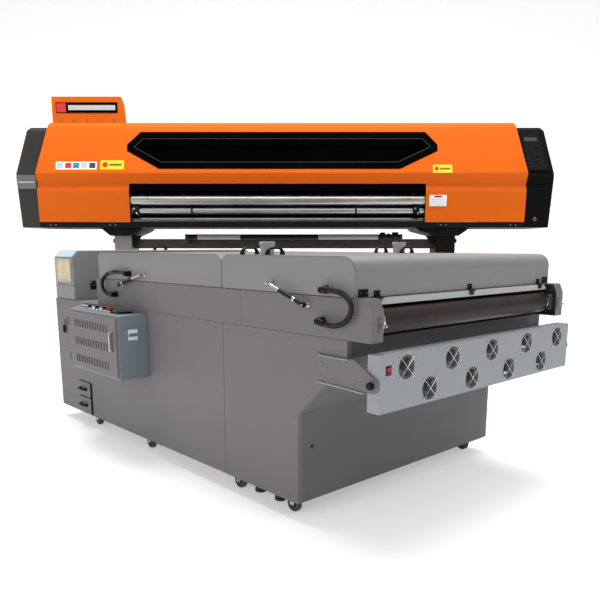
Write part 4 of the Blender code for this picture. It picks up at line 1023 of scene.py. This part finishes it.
def desk():
    """Switches and lamps on the control box's top, a small screen, and the mushroom button."""
    top = BOX_HIGH.z
    x = -0.845
    caps, rims, lamps = bmesh.new(), bmesh.new(), bmesh.new()
    for row, y in enumerate((1.615, 1.665, 1.715, 1.765, 1.815)):
        turned = [(-0.0005, 0), (-0.0005, 0.0135), (0.003, 0.0135), (0.0045, 0.0115), (0.0045, 0)]
        add_turned(rims, turned, "Z", (x - 0.012, y), 24, base=top)
        if row in (1, 3):
            add_turned(lamps, [(0.004, 0), (0.004, 0.0095), (0.01, 0.009), (0.014, 0.0055), (0.015, 0)], "Z",
                       (x - 0.012, y), 24, base=top)
        else:
            add_turned(caps, [(0.004, 0), (0.004, 0.01), (0.012, 0.0095), (0.013, 0.008), (0.013, 0)], "Z",
                       (x - 0.012, y), 24, base=top)
            add_box(caps, (x - 0.0215, y - 0.0022, top + 0.011), (x - 0.0025, y + 0.0022, top + 0.021))
    on_tunnel("desk_rims", rims, BRIGHT)
    on_tunnel("desk_knobs", caps, BLACK, bevel=0.0005)
    on_tunnel("desk_lamps", lamps, WHITE)
    desk_rockers()
    on_tunnel("desk_screen_frame", drawn(add_box, (-0.895, 1.365, top - 0.0005), (-0.805, 1.47, top + 0.01)),
              BLACK, bevel=0.003, segments=3)
    on_tunnel("desk_screen", drawn(add_box, (-0.885, 1.377, top + 0.009), (-0.815, 1.458, top + 0.0112)),
              SCREEN, bevel=0.0005)
    emergency_button()
    end_label()


def end_label():
    """A plain colour-block label on the control box's outfeed end."""
    y = BOX_LOW.y
    white, blue = bmesh.new(), bmesh.new()
    add_box(white, (-0.895, y - 0.001, 0.652), (-0.838, y + 0.012, 0.712))
    add_box(blue, (-0.893, y - 0.0014, 0.672), (-0.84, y + 0.011, 0.69))
    on_tunnel("box_label", white, WHITE, bevel=0.0002)
    on_tunnel("box_label_band", blue, BLUE)


def fan_guards():
    """Ring guards with crossed wires in front of each fan, and the mounting screws in their eyes."""
    front = PANEL_LOW.y
    rings, wires, bolts, rims = bmesh.new(), bmesh.new(), bmesh.new(), bmesh.new()
    for number in range(1, 10):
        paint_node(f"fan_rotor_{number}", ROTOR)
        at = TUNNEL.inverted() @ Vector(JOINTS[f"fan_{number}_spin"]["pos_m"])
        for radius in (0.015, 0.0265, 0.038):
            ring = [placed("Y", front - 0.0032, x, z) for x, z in circle((at.x, at.z), radius, 36)]
            add_tube(rings, ring, 0.0008, 8, closed=True)
        rim = [(-0.0006, 0.044), (-0.0006, 0.0478), (0.0004, 0.0482), (0.0004, 0.044)]
        add_turned(rims, rim + rim[:1], "Y", (at.x, at.z), 48, base=front)
        for turn_degrees in (45, 135):
            turn = math.radians(turn_degrees)
            way = Vector((math.cos(turn), 0, math.sin(turn)))
            middle = Vector((at.x, front - 0.005, at.z))
            half = [(0.06, 0.0035), (0.05, 0.0026), (0.042, 0)]
            wire = [middle + way * reach + Vector((0, back, 0)) for reach, back in half]
            wire += [middle - way * reach + Vector((0, back, 0)) for reach, back in reversed(half)]
            add_tube(wires, wire, 0.0017, 8)
            for sign in (-1, 1):
                eye = (at.x + sign * way.x * 0.0583, at.z + sign * way.z * 0.0583)
                screws(bolts, [eye], "Y", front + 0.0002, front - 0.0038, 0.004)
    on_tunnel("fan_guard_rings", rings, DARK_STEEL, "cooling_panel")
    on_tunnel("fan_guard_wires", wires, BRIGHT, "cooling_panel")
    on_tunnel("fan_screws", bolts, BRIGHT, "cooling_panel")
    on_tunnel("fan_rims", rims, BLACK, "cooling_panel")


def fan_switch_bezel():
    """The rocker's frame on the cooling panel."""
    front = PANEL_LOW.y
    paint_node("fan_switch", RED)
    switch_low, switch_high = extent("fan_switch", TUNNEL)
    x, z = (switch_low.x + switch_high.x) / 2, (switch_low.z + switch_high.z) / 2
    bm = bmesh.new()
    for side in (-1, 1):
        add_box(bm, (x + side * 0.0125 - 0.0025, front - 0.0025, z - 0.0185),
                (x + side * 0.0125 + 0.0025, front + 0.001, z + 0.0185))
        add_box(bm, (x - 0.0125, front - 0.0025, z + side * 0.0165 - 0.002),
                (x + 0.0125, front + 0.001, z + side * 0.0165 + 0.002))
    on_tunnel("fan_switch_bezel", bm, BLACK, "cooling_panel", bevel=0.0007)


def tilt_fittings():
    """Knobs and washers on the panel's pivot, and the brackets' bolts and flanges; the flanges' pale paint is a
    painted highlight along the brackets' edges.
    """
    knobs, washers, bolts, flanges = bmesh.new(), bmesh.new(), bmesh.new(), bmesh.new()
    for side in (-1, 1):
        skin = side * (FAR_X + 0.006)
        washer = [(-0.001, 0), (-0.001, 0.0225), (0.0025, 0.0215), (0.003, 0)]
        add_turned(washers, washer, "X", (PIVOT.y, PIVOT.z), 32, base=skin, way=side)
        knob = [(0.002, 0), (0.002, 0.0135), (0.006, 0.016), (0.018, 0.016), (0.022, 0.013), (0.022, 0)]
        for vertex in add_turned(knobs, knob, "X", (PIVOT.y, PIVOT.z), 36, base=skin, way=side):
            offset = Vector((0, vertex.co.y - PIVOT.y, vertex.co.z - PIVOT.z))
            if offset.length > 0.012:
                turn = math.atan2(offset.z, offset.y)
                vertex.co -= offset.normalized() * 0.0016 * (0.5 + 0.5 * math.cos(turn * 9))
        for place in ((-0.15, 0.7), (-0.176, 0.683), (-0.15, 0.64), (-0.335, 0.652)):
            add_rod(bolts, place, 0.0058, "X", skin - side * 0.001, skin + side * 0.0035, 6)
        flange = [(-0.392, 0.6105), (-0.135, 0.6195), (-0.135, 0.6225), (-0.392, 0.6135)]
        add_prism(flanges, flange, "X", skin - side * 0.001, skin + side * 0.01)
        flange = [(-0.135, 0.7335), (-0.3, 0.7335), (-0.3, 0.731), (-0.135, 0.731)]
        add_prism(flanges, flange, "X", skin - side * 0.001, skin + side * 0.007)
    on_tunnel("tilt_washers", washers, GREY, bevel=0.0005)
    on_tunnel("tilt_knobs", knobs, BLACK)
    on_tunnel("bracket_bolts", bolts, LIT_HOOD_GREY, slot="steel", bevel=0.0006)
    # The flanges in pale paint: painted highlight on the brackets' edges.
    on_tunnel("bracket_flange_highlights", flanges, PALE_BAR, bevel=0.0006)


def cooling():
    for name in ("left_fan_bracket", "right_fan_bracket"):
        refined(name, GREY, 0.0012, 0.0006, 2)
    refined("cooling_panel", FAN_PAINT, 0.003, 0.0005, 3)
    fan_guards()
    front = PANEL_LOW.y
    fan_switch_bezel()
    tilt_fittings()
    bm = bmesh.new()
    places = [(x, z) for x in (-0.745, -0.4, 0, 0.4, 0.745)
              for z in (PANEL_LOW.z + 0.01, PANEL_HIGH.z - 0.01)]
    screws(bm, places, "Y", front + 0.0002, front - 0.0018, 0.003)
    on_tunnel("cooling_panel_screws", bm, FAN_PAINT, "cooling_panel")


def caster_wheel(name, body, x, y, z, radius, replaced=()):
    """A tread with round shoulders on a plastic hub."""
    half = 0.013
    tread = [(x - half, 0.026), (x - half, radius - 0.005), (x - half + 0.0015, radius - 0.0018),
             (x - half + 0.005, radius), (x + half - 0.005, radius), (x + half - 0.0015, radius - 0.0018),
             (x + half, radius - 0.005), (x + half, 0.026)]
    on_tunnel(name, drawn(add_turned, tread + tread[:1], "X", (y, z), 48), TREAD, body, replaced=replaced)
    hub = [(x - half + 0.002, 0.0056), (x - half, 0.009), (x - half, 0.013), (x - half + 0.004, 0.015),
           (x - half + 0.004, 0.022), (x - half + 0.001, 0.0262), (x + half - 0.001, 0.0262),
           (x + half - 0.004, 0.022), (x + half - 0.004, 0.015), (x + half, 0.013), (x + half, 0.009),
           (x + half - 0.002, 0.0056)]
    on_tunnel(name + "_hub", drawn(add_turned, hub + hub[:1], "X", (y, z), 32), CAP, body)


def spare_caster(name, x, y, z, radius, top):
    """A swivel caster without a CAD node of its own, under the side of the cabinet."""
    wheel_y = y + 0.03
    caster_wheel(name + "_wheel", "tunnel", x, wheel_y, z, radius)
    bm = bmesh.new()
    for side in (-1, 1):
        inner, outer = x + side * 0.0155, x + side * 0.019
        leg = [(wheel_y - 0.013, z - 0.006), (wheel_y + 0.013, z - 0.006), (wheel_y + 0.016, 0.0815),
               (wheel_y - 0.03, 0.0815)]
        add_prism(bm, leg, "X", min(inner, outer), max(inner, outer))
        add_rod(bm, (wheel_y, z), 0.0075, "X", x + side * 0.0185, x + side * 0.0235, 6)
    add_box(bm, (x - 0.019, y - 0.01, 0.08), (x + 0.019, wheel_y + 0.016, 0.086))
    add_turned(bm, [(0.0845, 0), (0.0845, 0.024), (0.088, 0.03), (0.092, 0.03), (top, 0.026), (top, 0)], "Z",
               (x, y), 32)
    on_tunnel(name + "_fork", bm, ZINC, "tunnel", "zinc", bevel=0.001)


def casters():
    for row in ("front", "rear"):
        for side in ("left", "right"):
            name = f"{row}_{side}_caster_wheel"
            low, high = extent(name, TUNNEL)
            middle = (low + high) / 2
            radius = WHEEL_TOP - middle.z
            caster_wheel(name + "_finish", f"{row}_{side}_wheel", middle.x, middle.y, middle.z, radius,
                         replaced=(name,))
    for name in ("front_left_caster_fork", "front_right_caster_fork", "rear_caster_beam"):
        refined(name, ZINC, 0.0014, 0.0006, 2)
    low, high = extent("front_left_caster_wheel", TUNNEL)
    near, z = (low.x + high.x) / 2, (low.z + high.z) / 2
    pan_z = extent("floor_pan", TUNNEL)[0].z
    for name, y in (("second_caster", 0.49), ("third_caster", 1.39)):
        spare_caster(name, near, y, z, WHEEL_TOP - z, pan_z)
        spare_caster("far_" + name, -near, y, z, WHEEL_TOP - z, pan_z)
    bm = bmesh.new()
    for y in (0.21, 0.36):
        foot = [(pan_z, 0), (pan_z, 0.01), (0.012, 0.01), (0.008, 0.026), (-0.018, 0.03), (-0.024, 0.026),
                (-0.024, 0)]
        for x in (near, -near):
            add_turned(bm, foot, "Z", (x, y), 24)
    on_tunnel("levelling_feet", bm, RUBBER, slot="caster_rubber", bevel=0.001)


# ---------------------------------------------------------------- printer

def brow_point(x, z, out=0.0):
    normal = Vector((0, -1, BROW_SLOPE)).normalized()
    return Vector((x, (z - BROW_Z) * BROW_SLOPE, z)) + normal * out


def add_plate(bm, outline, point_at, out, deep):
    """A plate whose outline in (x, z) lies on a leaning face, from out in front of it to deep behind."""
    joined(bm, *[[bm.verts.new(point_at(x, z, place)) for x, z in outline] for place in (out, -deep)])


def add_brow_frame(bm, outer, inner, out, deep):
    """A frame between two outlines with the same number of corners."""
    loops = [[bm.verts.new(brow_point(x, z, place)) for x, z in outline]
             for outline, place in ((outer, out), (inner, out), (inner, -deep), (outer, -deep))]
    count = len(outer)
    for before, after in zip(loops, loops[1:] + loops[:1]):
        for index in range(count):
            following = (index + 1) % count
            bm.faces.new((before[index], before[following], after[following], after[index]))


def shrunk(outline, distance):
    """The outline moved inwards, with mitred corners. The outline runs clockwise."""
    moved = []
    for before, point, after in zip(outline[-1:] + outline[:-1], outline, outline[1:] + outline[:1]):
        first = (Vector(point) - Vector(before)).normalized()
        second = (Vector(after) - Vector(point)).normalized()
        first_normal, second_normal = Vector((first.y, -first.x)), Vector((second.y, -second.x))
        mitre = (first_normal + second_normal) / (1 + first_normal.dot(second_normal))
        moved.append(tuple(Vector(point) + mitre * distance))
    return moved


def window():
    """A black frame, a fine dull line, and the smoked pane."""
    outline = list(WINDOW)
    rim, line = shrunk(outline, 0.056), shrunk(outline, 0.0595)
    on_printer("front_window_frame", drawn(add_brow_frame, outline, rim, 0.004, 0.01), GLOSS, "front_window",
               bevel=0.0025, segments=3, replaced=("front_window",))
    on_printer("front_window_line", drawn(add_brow_frame, shrunk(outline, 0.0555), line, 0.0026, 0.004),
               DULL_LINE, "front_window")
    pane = drawn(add_plate, shrunk(outline, 0.059), brow_point, 0.0006, 0.006)
    on_printer("front_window_pane", pane, GLASS, "front_window", bevel=0.0008)


def brow_block(name, low, high, paint, out=0.0006, slot="light_grey_paint"):
    bm = bmesh.new()
    outline = [(low[0], high[1]), (high[0], high[1]), (high[0], low[1]), (low[0], low[1])]
    add_plate(bm, outline, brow_point, out, 0.001)
    on_printer(name, bm, paint, slot=slot)


def labels():
    """Plain colour blocks where the machine carries its stickers, and the blank sign plate."""
    brow_block("white_strip", (-2.035, 1.834), (-1.672, 1.903), WHITE)
    patches = (("strip_sky", PALE_BLUE), ("strip_red", RED_FILM), ("strip_blue", BLUE),
               ("strip_pale", PALE_GREY), ("strip_grey", DARK_KEYS))
    for index, (name, paint) in enumerate(patches):
        start = -2.024 + index * 0.0715
        brow_block(name, (start, 1.846), (start + 0.055, 1.893), paint, 0.001)
    brow_block("left_yellow_label", (-1.64, 1.835), (-1.43, 1.915), YELLOW)
    brow_block("left_yellow_bar", (-1.562, 1.866), (-1.45, 1.886), OLIVE, 0.001)
    brow_block("right_yellow_label", (1.312, 1.805), (1.484, 1.876), YELLOW)
    brow_block("right_yellow_bar", (1.374, 1.832), (1.466, 1.85), OLIVE, 0.001)
    marks = (("left_yellow_mark", -1.598, 1.876, 0.026), ("right_yellow_mark", 1.346, 1.842, 0.021))
    for name, x, z, reach in marks:
        on_printer(name, drawn(add_plate, circle((x, z), reach, 6)[::-1], brow_point, 0.001, 0.001),
                   RED_FILM)
    y = 0.0205
    on_printer("wing_notice", drawn(add_box, (1.292, y - 0.0025, 1.519), (1.446, y + 0.012, 1.616)), WHITE,
               bevel=0.0004)
    on_printer("wing_notice_head", drawn(add_box, (1.335, y - 0.003, 1.594), (1.402, y + 0.01, 1.611)),
               RED_FILM)
    bm = bmesh.new()
    for line in range(4):
        add_box(bm, (1.306, y - 0.003, 1.53 + line * 0.015), (1.432, y + 0.01, 1.534 + line * 0.015))
    on_printer("wing_notice_lines", bm, PALE_BLUE)
    sign_face()


def sign_face():
    """The sign box's blank plate, with a red square and a light bar, over five slots."""
    front = 0.19
    on_printer("sign_plate", drawn(add_box, (-2.0597, front - 0.003, 2.3414),
                                   (-1.5064, front + 0.0005, 2.4325)), GLOSS, bevel=0.0008)
    on_printer("sign_square", drawn(add_box, (-2.054, front - 0.0042, 2.348), (-1.97, front - 0.002, 2.426)),
               RED_FILM, bevel=0.0004)
    on_printer("sign_bar", drawn(add_box, (-1.948, front - 0.004, 2.366), (-1.526, front - 0.0022, 2.408)),
               PALE_GREY, bevel=0.0004)
    bm = bmesh.new()
    for index in range(5):
        x = -2.025 + index * 0.1215
        add_box(bm, (x - 0.005, front - 0.002, 2.262), (x + 0.005, front + 0.0005, 2.294))
    on_printer("sign_slots", bm, OLIVE, bevel=0.0008)


def cap_point(x, z, out=0.0):
    """A point on the right end cap's leaning front, which is a little further back than the cover's."""
    slope = (0.144 - 0.024) / (2.183 - BROW_Z)
    return Vector((x, 0.024 + (z - BROW_Z) * slope, z)) + Vector((0, -1, slope)).normalized() * out


def cap_plate(bm, low, high, out):
    corners = [(low[0], low[1]), (high[0], low[1]), (high[0], high[1]), (low[0], high[1])]
    add_plate(bm, corners, cap_point, out, 0.004)


def operator_panel():
    """The panel, screen and keys on the right cap's leaning front."""
    outline = [(2.165, 1.835), (2.345, 1.835), (2.268, 2.172), (2.108, 2.172)]
    on_printer("operator_panel", drawn(add_plate, outline, cap_point, 0.0022, 0.004), DARK_PAINT,
               slot="dark_plastic", bevel=0.0015)
    on_printer("operator_screen", drawn(cap_plate, (2.138, 2.088), (2.252, 2.122), 0.0036), DULL_LINE,
               slot="dark_glass", bevel=0.0006)
    keys = bmesh.new()
    for row in range(5):
        for column in range(4):
            if (row + column) % 3 == 2 and column in (1, 2):
                continue
            lean = 0.004 * (4 - row)
            x, z = 2.14 + lean + column * 0.038, 1.88 + row * 0.039
            cap_plate(keys, (x, z), (x + 0.022, z + 0.019), 0.0046)
    on_printer("operator_keys", keys, BLACK, bevel=0.0012)


def power_switch():
    """The red button and the ring round it."""
    low, high = extent("power_button", PRINTER)
    x, z, face = (low.x + high.x) / 2, (low.z + high.z) / 2, low.y
    bm = bmesh.new()
    button = [(0.022, 0), (0.022, 0.0116), (0.002, 0.0116), (0, 0.0098), (0.0012, 0.005), (0.0014, 0)]
    add_turned(bm, button, "Y", (x, z), 36, base=face)
    on_printer("power_button_finish", bm, RED, "power_button", replaced=("power_button",))
    bm = bmesh.new()
    ring = [(0.012, 0.0126), (0.003, 0.0126), (0.0015, 0.016), (0.003, 0.0185), (0.012, 0.0185)]
    add_turned(bm, ring + ring[:1], "Y", (x, z), 36, base=face)
    on_printer("power_button_ring", bm, DARK_STEEL)


def end_caps():
    refined("left_end_cap", CAP, 0.014, 0.0015, 4, stout=0.02)
    refined("right_end_cap", RIGHT_CAP, 0.014, 0.0015, 4, stout=0.02)
    operator_panel()
    # Near-black strips in the cap's grooves: painted shade.
    bm = bmesh.new()
    add_box(bm, (2.178, 0.0195, 1.812), (2.372, 0.06, 1.822))
    add_box(bm, (2.19, 0.0225, 1.706), (2.33, 0.06, 1.711))
    on_printer("cap_grooves", bm, INNER_SHADE)
    on_printer("left_cap_band", drawn(add_box, (-2.388, 0.0165, 1.668), (-2.222, 0.06, 1.788)), BAND,
               bevel=0.003, segments=3)
    on_printer("left_cap_strip", drawn(add_box, (-2.38, 0.015, 1.719), (-2.232, 0.06, 1.731)), PALE_BAR,
               slot="steel", bevel=0.002, segments=3)
    power_switch()


def guide_clamps():
    """Clamps at the ends of the upper guide."""
    start, end = OPENING
    clamps, bolts = bmesh.new(), bmesh.new()
    for x in (start + 0.045, end - 0.075):
        add_box(clamps, (x - 0.03, 0.056, 1.452), (x + 0.03, 0.08, 1.524))
        add_prism(clamps, [(x - 0.04, 1.512), (x + 0.012, 1.436), (x + 0.042, 1.436), (x - 0.01, 1.512)],
                  "Y", 0.05, 0.058)
        add_rod(bolts, (x - 0.012, 1.498), 0.009, "Y", 0.042, 0.052, 6)
        add_rod(bolts, (x + 0.012, 1.458), 0.009, "Y", 0.042, 0.052, 6)
    for x in (start + 0.55, end - 0.62):
        add_box(clamps, (x - 0.008, 0.06, 1.446), (x + 0.008, 0.075, 1.514))
    on_printer("guide_clamps", clamps, BLACK, bevel=0.002)
    on_printer("guide_clamp_bolts", bolts, BRIGHT, bevel=0.0008)


def front_rollers():
    """Sleeves and clamps on the guides, pinch wheels on the feed roller, and painted shade in the openings behind
    them.
    """
    start, end = OPENING
    guides = (("upper_guide", 0.095, 1.48, 0.0304, TUBE), ("lower_guide", 0.105, 1.39, 0.0364, DARK_STEEL))
    for name, y, z, radius, paint in guides:
        bm = bmesh.new()
        profile = [(start + 0.001, radius - 0.004), (start + 0.001, radius + 0.0004),
                   (end - 0.001, radius + 0.0004), (end - 0.001, radius - 0.004)]
        add_turned(bm, profile + profile[:1], "X", (y, z), 48)
        on_printer(name, bm, paint, slot="steel")
    paint_node("feed_roller", ROLLER)
    # Near-black sheets inside the opening: painted shade.
    bm = bmesh.new()
    add_box(bm, (start - 0.08, 0.145, 1.385), (end + 0.08, 0.152, 1.598))
    add_box(bm, (start - 0.25, 0.47, 1.64), (end + 0.25, 0.476, 1.85))
    on_printer("inner_shade_screen", bm, INNER_SHADE)
    on_printer("platen_top", drawn(add_box, (start + 0.0015, 0.152, 1.6295), (end - 0.0015, 0.469, 1.6325)),
               DARK_PAINT, bevel=0.0005)
    bm = bmesh.new()
    for number in range(14):
        x = start + 0.09 + number * (end - start - 0.18) / 13
        add_rod(bm, (0.11, 1.6275), 0.0105, "X", x - 0.02, x + 0.02, 24)
        add_box(bm, (x - 0.006, 0.105, 1.634), (x + 0.006, 0.165, 1.64))
    on_printer("pinch_wheels", bm, BLACK, bevel=0.0008)
    # A near-black strip under the cover's edge inside the opening: painted shade.
    on_printer("opening_lip", drawn(add_box, (start + 0.001, 0.07, 1.6565), (end - 0.001, 0.078, 1.715)),
               INNER_SHADE, slot="dark_paint", bevel=0.001)
    guide_clamps()


def head():
    refined("top_cover", ORANGE, 0.014, 0.0016, 5, stout=0.02, hollows=True, pierced=True)
    refined("head_base", DARK_PAINT, 0.003, 0.001, 2)
    refined("carriage_rail", ALUMINIUM, 0.003, 0.001, 2)
    refined("carriage", BLACK, 0.006, 0.0015, 3)
    window()
    labels()
    end_caps()
    front_rollers()
    bm = bmesh.new()
    places = [(x, 1.354) for middle in (-2.1, -1.56, 1.43, 2.06) for x in (middle - 0.024, middle + 0.024)]
    screws(bm, places, "Y", 0.0352, 0.031, 0.0075)
    on_printer("base_screws", bm, DARK_STEEL)
    bm = bmesh.new()
    for side in (-1, 1):
        add_box(bm, (side * 2.081 - 0.002, 0.205, 2.1), (side * 2.081 + 0.002, 0.64, 2.245))
    on_printer("cover_end_sheets", bm, ORANGE)
    printer_back()


def printer_back():
    """Service panels, vents and the inlet on the back of the head."""
    y = COVER_BACK_Y
    bm = bmesh.new()
    for middle in SERVICE_PANEL_XS:
        add_box(bm, (middle - 0.42, y - 0.0005, 1.86), (middle + 0.42, y + 0.003, 2.12))
    on_printer("rear_service_panels", bm, ORANGE, bevel=0.002)
    bm = bmesh.new()
    for middle in SERVICE_PANEL_XS:
        screws(bm, [(middle + side * 0.4, z) for side in (-1, 1) for z in (1.88, 2.1)], "Y", y + 0.0028,
               y + 0.005, 0.005)
    on_printer("rear_panel_screws", bm, BRIGHT)
    # Near-black slats for the vents' openings: painted shade.
    bm = bmesh.new()
    for side in (-1, 1):
        for row in range(8):
            z = 1.46 + row * 0.024
            add_box(bm, (side * 2.04 - 0.06, y - 0.0005, z), (side * 2.04 + 0.06, y + 0.0022, z + 0.012))
    on_printer("rear_vents", bm, INNER_SHADE, bevel=0.0008)
    on_printer("power_inlet", drawn(add_box, (1.99, 0.6945, 1.338), (2.06, 0.6985, 1.376)), BLACK,
               bevel=0.0015)


def saddle_covers():
    """Covers over the brackets between the legs and the head."""
    covers = bmesh.new()
    for column, bracket in (((-1.605, -1.445), (-1.69, -1.308)), ((1.405, 1.585), (1.1975, 1.68))):
        outline = [(bracket[0] - 0.001, 1.3315), (bracket[0] + 0.029, 1.304), (column[0] - 0.002, 1.26),
                   (column[1] + 0.002, 1.26), (bracket[1] - 0.029, 1.304), (bracket[1] + 0.001, 1.3315)]
        add_prism(covers, outline, "Y", 0.098, 0.6195)
    on_printer("saddle_covers", covers, DARK_PAINT, bevel=0.0015)


def shaft_sleeves():
    """Bands and clamps along the media shaft."""
    paint_node("media_shaft", DARK_PAINT)
    shaft_y, shaft_z = 0.2, 1.25
    start, end = -0.9145, 1.0625
    radius = 0.0245
    bands = ((start + 0.001, -0.824, BLACK), (-0.822, -0.424, SLEEVE), (-0.422, 0.301, BLACK),
             (0.303, 0.86, SLEEVE), (0.862, end - 0.001, BLACK))
    for index, (low, high, paint) in enumerate(bands):
        bm = bmesh.new()
        profile = [(low, 0.0218), (low, radius - 0.001), (low + 0.001, radius), (high - 0.001, radius),
                   (high, radius - 0.001), (high, 0.0218)]
        add_turned(bm, profile + profile[:1], "X", (shaft_y, shaft_z), 40)
        on_printer(f"shaft_band_{index + 1}", bm, paint, "media_shaft", "black_plastic"
                   if index % 2 == 0 else "grey_paint")
    bm = bmesh.new()
    for low, high, reach in ((0.885, 0.925, 0.044), (0.945, 0.97, 0.034), (0.99, 1.045, 0.046)):
        collar = [(low, 0.024), (low, reach - 0.004), (low + 0.004, reach), (high - 0.004, reach),
                  (high, reach - 0.004), (high, 0.024)]
        add_turned(bm, collar + collar[:1], "X", (shaft_y, shaft_z), 10)
    on_printer("shaft_clamps", bm, BLACK, "media_shaft", bevel=0.001)


def stand():
    refined("left_stand_leg", BEIGE_PAINT, 0.004, 0.0012, 3)
    refined("right_stand_leg", DARK_PAINT, 0.004, 0.0012, 3)
    saddle_covers()
    refined("stand_beam", BRONZE, 0.003, 0.001, 2)
    shaft_sleeves()
    braces, knobs = bmesh.new(), bmesh.new()
    for side, edge in ((-1, -1.605), (1, 1.585)):
        add_rod(knobs, (0.3, 1.215), 0.02, "X", edge - 0.001 * side, edge + 0.03 * side, 20)
    for inner, way in ((-1.445, 1), (1.405, -1)):
        brace = [(inner, 1.262), (inner + way * 0.085, 1.262), (inner, 1.15)]
        add_prism(braces, brace, "Y", 0.24, 0.3)
    on_printer("stand_braces", braces, DARK_PAINT, bevel=0.002)
    on_printer("stand_knobs", knobs, BLACK, bevel=0.003)


camera()
stage()
cabinet()
cabinet_back()
side_doors()
hoods()
hoses()
conveyor()
infeed_housing()
control_box()
cooling()
casters()
head()
stand()
